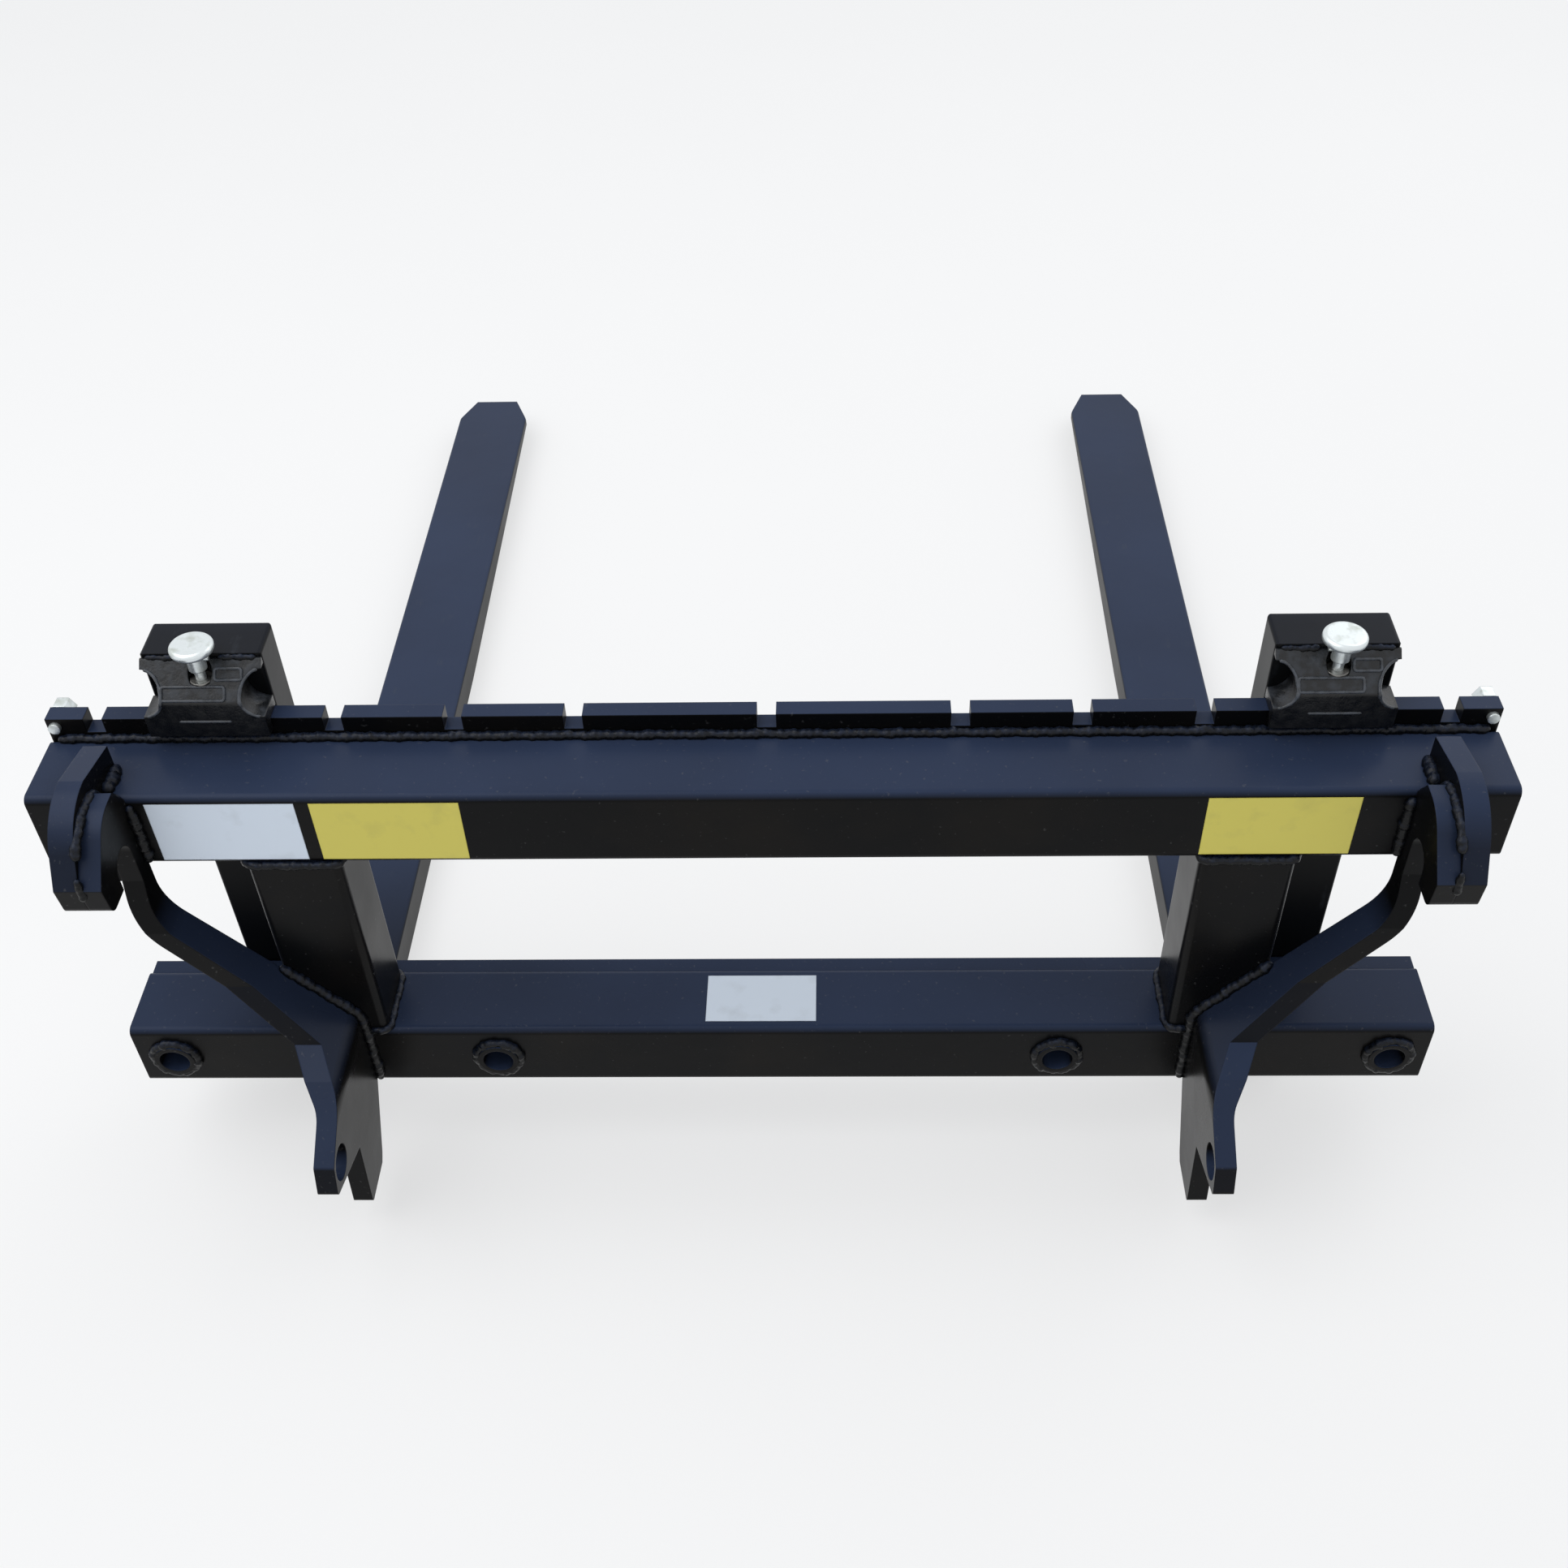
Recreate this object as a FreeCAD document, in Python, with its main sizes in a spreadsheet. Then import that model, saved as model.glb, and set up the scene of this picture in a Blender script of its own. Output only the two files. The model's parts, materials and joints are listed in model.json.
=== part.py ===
"""Pallet fork attachment for a front loader, with a hook-on tool carrier.

Frame: +X to the right as seen from the tractor, +Y along the tines, +Z up.
The floor is z = 0, and every sketch takes the front face of the carriage bars
as y = 0. The last step moves each sub-part back by half the reach, so that the
origin of the model is on the floor under the middle of its box.
"""
import FreeCAD, Part
import Sketcher
import math
import os

App = FreeCAD
V = FreeCAD.Vector

doc = FreeCAD.newDocument("PalletForks")

# ---------------------------------------------------------------- driving sizes

SIZES = (
    ("frame_width", 1200, "length of both beams and both carriage bars"),
    ("tube_size", 75, "side of the square beam tube"),
    ("tube_wall", 6, "wall of the beam tube"),
    ("tube_radius", 7, "outer corner radius of the tubes"),
    ("upper_beam_top", 462, "height of the upper beam's top face"),
    ("lower_beam_bottom", 92, "height of the lower beam's bottom face"),
    ("cap_thickness", 5, "closing plate in each beam end"),
    ("post_offset", 397, "middle of each post from the middle of the frame"),
    ("post_width", 80, "post tube, across the frame"),
    ("post_depth", 70, "post tube, front to back"),
    ("bar_thickness", 16, "both carriage bars, front to back"),
    ("bar_top", 483, "height of the upper bar's top edge"),
    ("upper_bar_depth", 96, "upper bar, top edge to bottom edge"),
    ("bar_bottom", 76, "height of the lower bar's bottom edge"),
    ("lower_bar_depth", 86, "lower bar, bottom edge to top edge"),
    ("notch_width", 16, "latch notches in the upper bar"),
    ("notch_depth", 14, "latch notches in the upper bar"),
    ("notch_first", 160, "first notch either side of the middle one"),
    ("notch_pitch", 100, "spacing of the notches after the first"),
    ("fork_steps", 3, "steps from the first notch to the tine's own notch"),
    ("sleeve_inner", 260, "inner pair of spike sleeves from the middle"),
    ("sleeve_outer", 565, "outer pair of spike sleeves from the middle"),
    ("sleeve_front", 50, "outer diameter of a sleeve at its front end"),
    ("sleeve_back", 38, "outer diameter of a sleeve at its back end"),
    ("sleeve_mouth", 43, "bore diameter at the front mouth"),
    ("sleeve_bore", 28, "bore diameter of the straight rear part"),
    ("sleeve_straight", 26, "length of the straight rear part of the bore"),
    ("sleeve_proud", 6, "how far a sleeve stands behind the beam"),
    ("hitch_thickness", 18, "bent hitch plates"),
    ("hitch_top_inner", 517, "inner face of the hitch plate at the hook"),
    ("hitch_low_inner", 379, "inner face of the hitch plate at the lug"),
    ("bend_top", 347, "height of the upper bend corner on the inner face"),
    ("bend_low", 191, "height of the lower bend corner on the inner face"),
    ("bend_top_radius", 60, "inside radius of the upper bend"),
    ("bend_low_radius", 14, "inside radius of the lower bend"),
    ("hook_thickness", 20, "outer hook plates"),
    ("hook_rise", 34, "outer hook plate above the upper beam"),
    ("hook_lap", 38, "how far the outer hook plate laps the upper beam"),
    ("hook_lap_rise", 24, "front edge of that lap"),
    ("hook_peak_front", 15, "front of the plate's level top, behind the beams"),
    ("hook_peak_back", 50, "back of the plate's level top, behind the beams"),
    ("hook_crown_radius", 60, "round from the plate's top to its back"),
    ("finger_length", 30, "upright back of the hook fingers above the tip"),
    ("finger_taper", 4, "how far the fingers' tips stand in"),
    ("finger_radius", 9, "corner of the fingers' tips"),
    ("hook_reach", 82, "back of the hooks behind the beams"),
    ("hook_tip", 410, "height of the hook fingers' tips"),
    ("throat_width", 32, "hook throat, front to back"),
    ("throat_back", 35, "middle of the throat behind the beams"),
    ("throat_top", 438, "height of the top of the throat"),
    ("plate_rise", 20, "hitch plate above the upper beam"),
    ("plate_peak_front", 14, "front of its level top, behind the beams"),
    ("plate_peak_back", 42, "back of its level top, behind the beams"),
    ("plate_crown_radius", 40, "round from its level top to its back"),
    ("plate_foot", 110, "height of the hitch plate's front foot"),
    ("waist_back", 31, "back of the hitch plate's waist behind the beams"),
    ("waist_top", 335, "height of the top of the waist"),
    ("web_back", 35, "back of the hitch plate half way down"),
    ("web_height", 271, "height of that place"),
    ("neck_back", 53, "back of the hitch plate above the lug"),
    ("neck_height", 213, "height of that place"),
    ("crest_back", 83, "top of the lug's slope behind the beams"),
    ("crest_rise", 53, "top of the lug's slope above the lock pin hole"),
    ("crown_back", 9, "foot of the lug's slope ahead of the lug's back"),
    ("crown_rise", 14, "foot of the lug's slope above the lock pin hole"),
    ("lug_back", 156, "back of the lug behind the beams"),
    ("lug_drop", 14, "bottom of the lug's back below the lock pin hole"),
    ("jaw_back", 87, "inner end of the lug's jaw behind the beams"),
    ("jaw_drop", 39, "inner end of the lug's jaw below the lock pin hole"),
    ("prong_back", 96, "back of the lower prong's tip behind the beams"),
    ("prong_front", 51, "front of the lower prong's tip behind the beams"),
    ("prong_corner", 7, "cut corner at the front of the lower prong"),
    ("lug_radius", 4, "corners of the lug's back"),
    ("lug_hole", 33, "lock pin hole in the lug"),
    ("lug_hole_back", 130, "lock pin hole behind the beams"),
    ("lug_hole_height", 146, "height of the lock pin hole"),
    ("lug_low", 32, "height of the lower prong's tip"),
    ("fork_width", 100, "tine width"),
    ("fork_thickness", 40, "tine thickness at the heel and the shank"),
    ("blade_length", 1200, "blade, from the shank's front face to the tip"),
    ("tip_thickness", 10, "thickness of the blade at the tip"),
    ("tip_width", 60, "width of the blade's front edge"),
    ("tip_taper", 50, "length over which the tip narrows"),
    ("tine_edge", 3, "rolled edges along the top of the blade and the shank"),
    ("taper_length", 620, "length of the underside's taper"),
    ("heel_radius", 22, "outside radius of the heel"),
    ("shank_top", 538, "height of the shank's top face"),
    ("slide_gap", 1, "running clearance between the tines and the bars"),
    ("lip_thickness", 10, "lip of the upper hook behind the bar"),
    ("lip_depth", 10, "how far the upper hook's lip laps the bar"),
    ("hook_block_rise", 51, "upper hook block above the bar"),
    ("hook_shoulder", 25, "rear face of the upper hook block above the bar"),
    ("hook_waist", 17, "radius of the cutouts in the upper hook's sides"),
    ("waist_rise", 28, "middle of those cutouts above the bar"),
    ("hook_soft", 5, "rounding of the upper hook's rear edges"),
    ("low_hook_soft", 6, "rounding of the lower hook's rear edges"),
    ("low_hook_depth", 20, "thickness of the lower hook under the bar"),
    ("low_lip_thickness", 16, "lip of the lower hook behind the bar"),
    ("low_lip_rise", 12, "how far the lower hook's lip laps the bar"),
    ("pin_diameter", 14, "latch pin"),
    ("pin_neck", 9, "neck of the latch pin, inside the spring"),
    ("pin_lift", 1, "gap under the raised latch pin"),
    ("latch_travel", 9, "how far the latch drops into a notch"),
    ("pin_body", 13, "length of the full-size part of the latch pin"),
    ("fit_gap", 0.05, "radial running clearance of the latch pin"),
    ("bush_collar", 19, "diameter of the guide bush's collar"),
    ("bush_length", 11, "guide bush below its collar"),
    ("collar_height", 2, "height of the guide bush's collar"),
    ("spot_height", 36, "spot face of the guide bush above the bar"),
    ("knob_diameter", 36, "latch knob"),
    ("knob_height", 8, "latch knob's cap"),
    ("knob_round", 3.6, "rounding of the cap's rims"),
    ("knob_hub", 15, "diameter of the hub under the knob"),
    ("drop_gap", 1, "room left under the knob when the latch has dropped"),
    ("cross_rise", 10, "cross pin above the foot of the knob's hub"),
    ("cross_pin", 4, "cross pin through the knob's hub"),
    ("cross_pin_length", 22, "cross pin through the knob's hub"),
    ("spring_wire", 1.6, "latch spring wire"),
    ("spring_turns", 3.5, "turns of the latch spring"),
    ("spring_room", 0.1, "gap at each end of the spring"),
    ("spring_loose", 0.3, "gap between the spring and the pin's neck"),
    ("stop_inset", 7, "stop bolt from the end of the bar"),
    ("stop_drop", 8, "stop bolt below the bar's top edge"),
    ("stop_diameter", 10, "stop bolt thread"),
    ("stop_head", 17, "stop bolt head across flats"),
    ("stop_head_depth", 12, "stop bolt head and lock nut, front to back"),
    ("stop_proud", 4, "stop bolt end behind the bar"),
    ("label_length", 122, "blank plate and blank labels"),
    ("label_height", 63, "blank plate and blank labels"),
    ("label_thickness", 0.5, "blank plate, labels and sticker"),
    ("plate_x", -442, "middle of the blank type plate"),
    ("label_left_x", -308, "middle of the left blank label"),
    ("label_right_x", 415, "middle of the right blank label"),
    ("sticker_length", 102, "sticker on the lower beam"),
    ("sticker_depth", 55, "sticker on the lower beam, front to back"),
    ("sticker_x", -14, "middle of the sticker"),
)

sheet = doc.addObject("Spreadsheet::Sheet", "Sizes")
for row, (alias, value, note) in enumerate(SIZES, start=1):
    sheet.set("A%d" % row, alias)
    sheet.set("B%d" % row, str(value))
    sheet.set("C%d" % row, note)
    sheet.setAlias("B%d" % row, alias)
doc.recompute()

# Places that follow from the driving sizes, as expressions.
BEAM_BACK = "(Sizes.bar_thickness + Sizes.tube_size)"
SHANK_FRONT = "(Sizes.slide_gap + Sizes.fork_thickness)"
TIP_Y = "(%s + Sizes.blade_length)" % SHANK_FRONT
LUG_Y = "(%s + Sizes.lug_back)" % BEAM_BACK
FACE_Y = "((%s - %s) / 2)" % (LUG_Y, TIP_Y)
PIN_Y = "(Sizes.bar_thickness / 2 + Sizes.slide_gap)"
FORK_X = "(Sizes.notch_first + Sizes.fork_steps * Sizes.notch_pitch)"
UPPER_BOTTOM = "(Sizes.upper_beam_top - Sizes.tube_size)"
UPPER_TOP = "Sizes.upper_beam_top"
LOWER_TOP = "(Sizes.lower_beam_bottom + Sizes.tube_size)"
SLEEVE_Z = "(Sizes.lower_beam_bottom + Sizes.tube_size / 2)"
SLEEVE_END = "(%s + Sizes.sleeve_proud)" % BEAM_BACK

parts = []


def size(expression):
    """The number that an expression of the sheet's sizes gives."""
    return float(sheet.evalExpression(expression))


def bind(obj, **expressions):
    """Tie properties of an object to expressions; double underscores are dots."""
    for name, expression in expressions.items():
        obj.setExpression(name.replace("__", "."), str(expression))
    return obj


def finish(obj, label, x="0", y="0", z="0"):
    """Name a sub-part and put it where it belongs in the model's frame."""
    obj.Label = label
    bind(obj, Placement__Base__x=x, Placement__Base__y="%s + %s" % (FACE_Y, y),
         Placement__Base__z=z)
    parts.append(obj)
    return obj


# ---------------------------------------------------------------- small builders

def box(name, length, width, height, x="0", y="0", z="0"):
    """A box whose lowest corner is at x, y, z."""
    obj = doc.addObject("Part::Box", name)
    bind(obj, Length=length, Width=width, Height=height,
         Placement__Base__x=x, Placement__Base__y=y, Placement__Base__z=z)
    return obj


def cylinder(name, radius, height, x="0", y="0", z="0", axis="Z"):
    """A cylinder from x, y, z along +X, +Y or +Z."""
    turns = {"X": V(0, 1, 0), "Y": V(-1, 0, 0), "Z": V(0, 0, 1)}
    angle = 0 if axis == "Z" else 90
    obj = doc.addObject("Part::Cylinder", name)
    obj.Placement = App.Placement(V(), App.Rotation(turns[axis], angle))
    bind(obj, Radius=radius, Height=height,
         Placement__Base__x=x, Placement__Base__y=y, Placement__Base__z=z)
    return obj


def cone(name, radius_1, radius_2, height, x="0", y="0", z="0"):
    """A cone from x, y, z along -Y, which is from front to back."""
    obj = doc.addObject("Part::Cone", name)
    obj.Placement = App.Placement(V(), App.Rotation(V(1, 0, 0), 90))
    bind(obj, Radius1=radius_1, Radius2=radius_2, Height=height,
         Placement__Base__x=x, Placement__Base__y=y, Placement__Base__z=z)
    return obj


def cut(name, base, tools):
    """The base with every tool taken away."""
    result = base
    for number, tool in enumerate(tools):
        step = doc.addObject("Part::Cut", "%s_cut%d" % (name, number))
        step.Base = result
        step.Tool = tool
        result = step
    doc.recompute()
    return result


def fuse(name, shapes):
    """Several shapes as one solid."""
    obj = doc.addObject("Part::MultiFuse", name + "_fuse")
    obj.Shapes = shapes
    obj.Refine = True
    doc.recompute()
    return obj


def alone(name, shape):
    """One shape in a holder of its own, which then gets its own Placement."""
    holder = doc.addObject("Part::Compound", name + "_set")
    holder.Links = [shape]
    return holder


def edges_where(shape, test):
    """Numbers of the edges whose middle point passes the test."""
    numbers = []
    for number, edge in enumerate(shape.Edges, start=1):
        middle = edge.valueAt((edge.FirstParameter + edge.LastParameter) / 2)
        if test(edge, middle):
            numbers.append(number)
    return numbers


def runs_along(edge, axis):
    """True for a straight edge that runs along the axis X, Y or Z."""
    if not isinstance(edge.Curve, Part.Line):
        return False
    return abs(abs(getattr(edge.Curve.Direction, axis.lower())) - 1) < 1e-6


def rounded(name, base, radius, test):
    """A Part fillet of one radius on the edges that pass the test."""
    doc.recompute()
    obj = doc.addObject("Part::Fillet", name + "_round")
    obj.Base = base
    value = size(radius)
    obj.Edges = [(number, value, value) for number in edges_where(base.Shape, test)]
    doc.recompute()
    return obj


def new_body(name):
    return doc.addObject("PartDesign::Body", name)


def plane_of(body, role):
    """The body's own origin plane with this role."""
    for feature in body.Origin.OriginFeatures:
        if feature.Role == role:
            return feature
    raise ValueError(role)


def sketch_on(body, name, role):
    sketch = body.newObject("Sketcher::SketchObject", name)
    sketch.AttachmentSupport = [(plane_of(body, role), "")]
    sketch.MapMode = "FlatFace"
    return sketch


def hold_point(sketch, line, point, across, up):
    """Tie one end of a line to two coordinates given as expressions."""
    for kind, expression in (("DistanceX", across), ("DistanceY", up)):
        index = sketch.addConstraint(
            Sketcher.Constraint(kind, -1, 1, line, point, size(expression)))
        sketch.setExpression("Constraints[%d]" % index, expression)


def outline(sketch, points):
    """A closed outline of straight lines through points given as expressions."""
    first = len(sketch.Geometry)
    places = [V(size(across), size(up), 0) for across, up in points]
    count = len(places)
    for number in range(count):
        line = Part.LineSegment(places[number], places[(number + 1) % count])
        sketch.addGeometry(line, False)
    for number in range(count):
        following = first + (number + 1) % count
        sketch.addConstraint(
            Sketcher.Constraint("Coincident", first + number, 2, following, 1))
    for number, (across, up) in enumerate(points):
        hold_point(sketch, first + number, 1, across, up)


def ring(sketch, across, up, diameter):
    """A circle whose middle and diameter are given as expressions."""
    place = V(size(across), size(up), 0)
    index = sketch.addGeometry(Part.Circle(place, V(0, 0, 1), size(diameter) / 2))
    hold_point(sketch, index, 3, across, up)
    datum = sketch.addConstraint(
        Sketcher.Constraint("Diameter", index, size(diameter)))
    sketch.setExpression("Constraints[%d]" % datum, diameter)


def pad(body, sketch, length, middle=False, back=False):
    feature = body.newObject("PartDesign::Pad", sketch.Name + "_pad")
    feature.Profile = sketch
    feature.Midplane = middle
    feature.Reversed = back
    bind(feature, Length=length)
    sketch.Visibility = False
    doc.recompute()
    return feature


def pocket(body, sketch, length):
    """Cut a sketch both ways from its plane, and make sure that it cut."""
    before = body.Shape.Volume
    feature = body.newObject("PartDesign::Pocket", sketch.Name + "_pocket")
    feature.Profile = sketch
    feature.Midplane = True
    bind(feature, Length=length)
    doc.recompute()
    if body.Shape.Volume >= before:
        raise RuntimeError("pocket %s cut nothing" % sketch.Name)
    return feature


def round_body(body, name, radius, test):
    """A PartDesign fillet on the edges of the body's last feature."""
    doc.recompute()
    base = body.Tip
    names = ["Edge%d" % number for number in edges_where(base.Shape, test)]
    if not names:
        raise RuntimeError("no edges for %s" % name)
    feature = body.newObject("PartDesign::Fillet", name)
    feature.Base = (base, names)
    bind(feature, Radius=radius)
    doc.recompute()
    return feature


# ---------------------------------------------------------------- beams and posts

def square_tube(name, top):
    """A beam: a rounded square tube along X, hollow from end to end."""
    length, side = "Sizes.frame_width", "Sizes.tube_size"
    wall = "Sizes.tube_wall"
    bottom = "%s - %s" % (top, side)
    outside = box(name + "_out", length, side, side,
                  "-%s / 2" % length, "-" + BEAM_BACK, bottom)
    inside = box(name + "_in", length, "%s - 2 * %s" % (side, wall),
                 "%s - 2 * %s" % (side, wall), "-%s / 2" % length,
                 "-%s + %s" % (BEAM_BACK, wall), "%s + %s" % (bottom, wall))
    outside = rounded(name + "_out", outside, "Sizes.tube_radius",
                      lambda edge, middle: runs_along(edge, "X"))
    return cut(name, outside, [inside])


def sleeve_blank(name, x, extra):
    """The outside of a spike sleeve, grown by a gap for the hole it sits in."""
    return cone(name, "Sizes.sleeve_front / 2 + %s" % extra,
                "Sizes.sleeve_back / 2 + %s" % extra, SLEEVE_END, x, "0", SLEEVE_Z)


SLEEVES = (("outer_left", "-Sizes.sleeve_outer"), ("inner_left", "-Sizes.sleeve_inner"),
           ("inner_right", "Sizes.sleeve_inner"), ("outer_right", "Sizes.sleeve_outer"))
WELD_GAP = "0.1"
# How far a tool reaches past what it cuts, and what keeps a full round's flanks.
OVER = "20"
SLIVER = "0.01"

upper_beam = square_tube("upper_beam", UPPER_TOP)
finish(upper_beam, "upper_beam")

lower_beam = square_tube("lower_beam", LOWER_TOP)
holes = [sleeve_blank("beam_hole_" + name, x, WELD_GAP) for name, x in SLEEVES]
finish(cut("lower_beam_holes", lower_beam, holes), "lower_beam")

for level, top in (("upper", UPPER_TOP), ("lower", LOWER_TOP)):
    for side, sign in (("left", "-1"), ("right", "1")):
        name = "%s_cap_%s" % (level, side)
        inner = "(Sizes.tube_size - 2 * Sizes.tube_wall)"
        cap = box(name + "_blank", "Sizes.cap_thickness", inner, inner,
                  "-Sizes.cap_thickness / 2", "-%s + Sizes.tube_wall" % BEAM_BACK,
                  "%s - Sizes.tube_size + Sizes.tube_wall" % top)
        finish(alone(name, cap), name,
               "%s * (Sizes.frame_width - Sizes.cap_thickness) / 2" % sign)

for side, sign in (("left", "-1"), ("right", "1")):
    name = side + "_post"
    height = "%s - %s" % (UPPER_BOTTOM, LOWER_TOP)
    outside = box(name + "_out", "Sizes.post_width", "Sizes.post_depth", height,
                  "-Sizes.post_width / 2", "-" + BEAM_BACK, LOWER_TOP)
    inside = box(name + "_in", "Sizes.post_width - 2 * Sizes.tube_wall",
                 "Sizes.post_depth - 2 * Sizes.tube_wall", height,
                 "-Sizes.post_width / 2 + Sizes.tube_wall",
                 "-%s + Sizes.tube_wall" % BEAM_BACK, LOWER_TOP)
    outside = rounded(name + "_out", outside, "Sizes.tube_radius",
                      lambda edge, middle: runs_along(edge, "Z"))
    finish(cut(name, outside, [inside]), name, "%s * Sizes.post_offset" % sign)

# ---------------------------------------------------------------- carriage bars

bar = box("upper_bar_blank", "Sizes.frame_width", "Sizes.bar_thickness",
          "Sizes.upper_bar_depth", "-Sizes.frame_width / 2", "-Sizes.bar_thickness",
          "Sizes.bar_top - Sizes.upper_bar_depth")
NOTCH_STEPS = 5
places = ["0"]
for step in range(NOTCH_STEPS):
    place = "(Sizes.notch_first + %d * Sizes.notch_pitch)" % step
    places += ["-" + place, place]
cutters = []
for number, place in enumerate(places):
    cutters.append(box("notch_%d" % number, "Sizes.notch_width",
                       "Sizes.bar_thickness", "Sizes.notch_depth",
                       "%s - Sizes.notch_width / 2" % place, "-Sizes.bar_thickness",
                       "Sizes.bar_top - Sizes.notch_depth"))
for sign in ("-1", "1"):
    cutters.append(cylinder("stop_hole_%s" % ("left" if sign == "-1" else "right"),
                            "Sizes.stop_diameter / 2", "Sizes.bar_thickness",
                            "%s * (Sizes.frame_width / 2 - Sizes.stop_inset)" % sign,
                            "-Sizes.bar_thickness", "Sizes.bar_top - Sizes.stop_drop",
                            "Y"))
finish(cut("upper_bar", bar, cutters), "upper_carriage_bar")

bar = box("lower_bar_blank", "Sizes.frame_width", "Sizes.bar_thickness",
          "Sizes.lower_bar_depth", "-Sizes.frame_width / 2", "-Sizes.bar_thickness",
          "Sizes.bar_bottom")
holes = [sleeve_blank("bar_hole_" + name, x, WELD_GAP) for name, x in SLEEVES]
finish(cut("lower_bar", bar, holes), "lower_carriage_bar")

# ---------------------------------------------------------------- spike sleeves

for name, x in SLEEVES:
    straight = "Sizes.sleeve_straight"
    blank = sleeve_blank("sleeve_" + name, "0", "0")
    mouth = cone("mouth_" + name, "Sizes.sleeve_mouth / 2", "Sizes.sleeve_bore / 2",
                 "%s - %s" % (SLEEVE_END, straight), "0", "0", SLEEVE_Z)
    bore = cylinder("bore_" + name, "Sizes.sleeve_bore / 2", straight, "0",
                    "-" + SLEEVE_END, SLEEVE_Z, "Y")
    finish(cut("spike_sleeve_" + name, blank, [mouth, bore]),
           "spike_sleeve_" + name, x)

# ---------------------------------------------------------------- hitch plates

def behind(expression):
    """A y that far behind the beams' rear faces, as an expression."""
    return "-(%s + %s)" % (BEAM_BACK, expression)


def throat_points(low_front):
    """The finger and the downward throat, from the finger's back to the plate."""
    back = behind("Sizes.throat_back + Sizes.throat_width / 2")
    front = behind("Sizes.throat_back - Sizes.throat_width / 2")
    return [(behind("Sizes.hook_reach"), "Sizes.hook_tip + Sizes.finger_length"),
            (behind("Sizes.hook_reach - Sizes.finger_taper"), "Sizes.hook_tip"),
            (back, "Sizes.hook_tip"), (back, "Sizes.throat_top"),
            (front, "Sizes.throat_top"), (front, low_front)]


def at_finger_tip(edge, middle):
    """True for the edge across the back corner of a hook finger's tip."""
    back = size(behind("Sizes.hook_reach - Sizes.finger_taper"))
    return (runs_along(edge, "X") and abs(middle.z - size("Sizes.hook_tip")) < 0.5
            and abs(middle.y - back) < 0.5)


def outer_hook(name, side, sign):
    """Flat plate in the YZ plane: over the beam, back and down as a finger."""
    body = new_body(name)
    sketch = sketch_on(body, name + "_outline", "YZ_Plane")
    beam_top = "Sizes.upper_beam_top"
    peak = beam_top + " + Sizes.hook_rise"
    foot = "-(%s - Sizes.hook_lap)" % BEAM_BACK
    points = [("-" + BEAM_BACK, beam_top), (foot, beam_top),
              (foot, beam_top + " + Sizes.hook_lap_rise"),
              (behind("Sizes.hook_peak_front"), peak),
              (behind("Sizes.hook_peak_back"), peak)]
    points += throat_points(UPPER_BOTTOM)
    points += [("-" + BEAM_BACK, UPPER_BOTTOM)]
    outline(sketch, points)
    pad(body, sketch, "Sizes.hook_thickness")
    throat = size("Sizes.throat_top")
    round_body(body, name + "_throat", "Sizes.throat_width / 2 - " + SLIVER,
               lambda edge, middle: runs_along(edge, "X")
               and abs(middle.z - throat) < 0.5)
    round_body(body, name + "_crown", "Sizes.hook_crown_radius", lambda edge, middle:
               runs_along(edge, "X") and abs(middle.z - size(peak)) < 0.5
               and abs(middle.y - size(behind("Sizes.hook_peak_back"))) < 0.5)
    round_body(body, name + "_tip", "Sizes.finger_radius", at_finger_tip)
    inner = "(Sizes.hitch_top_inner + Sizes.hitch_thickness)"
    start = inner if sign > 0 else "-(%s + Sizes.hook_thickness)" % inner
    return finish(body, "outer_hook_plate_" + side, start)


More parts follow.
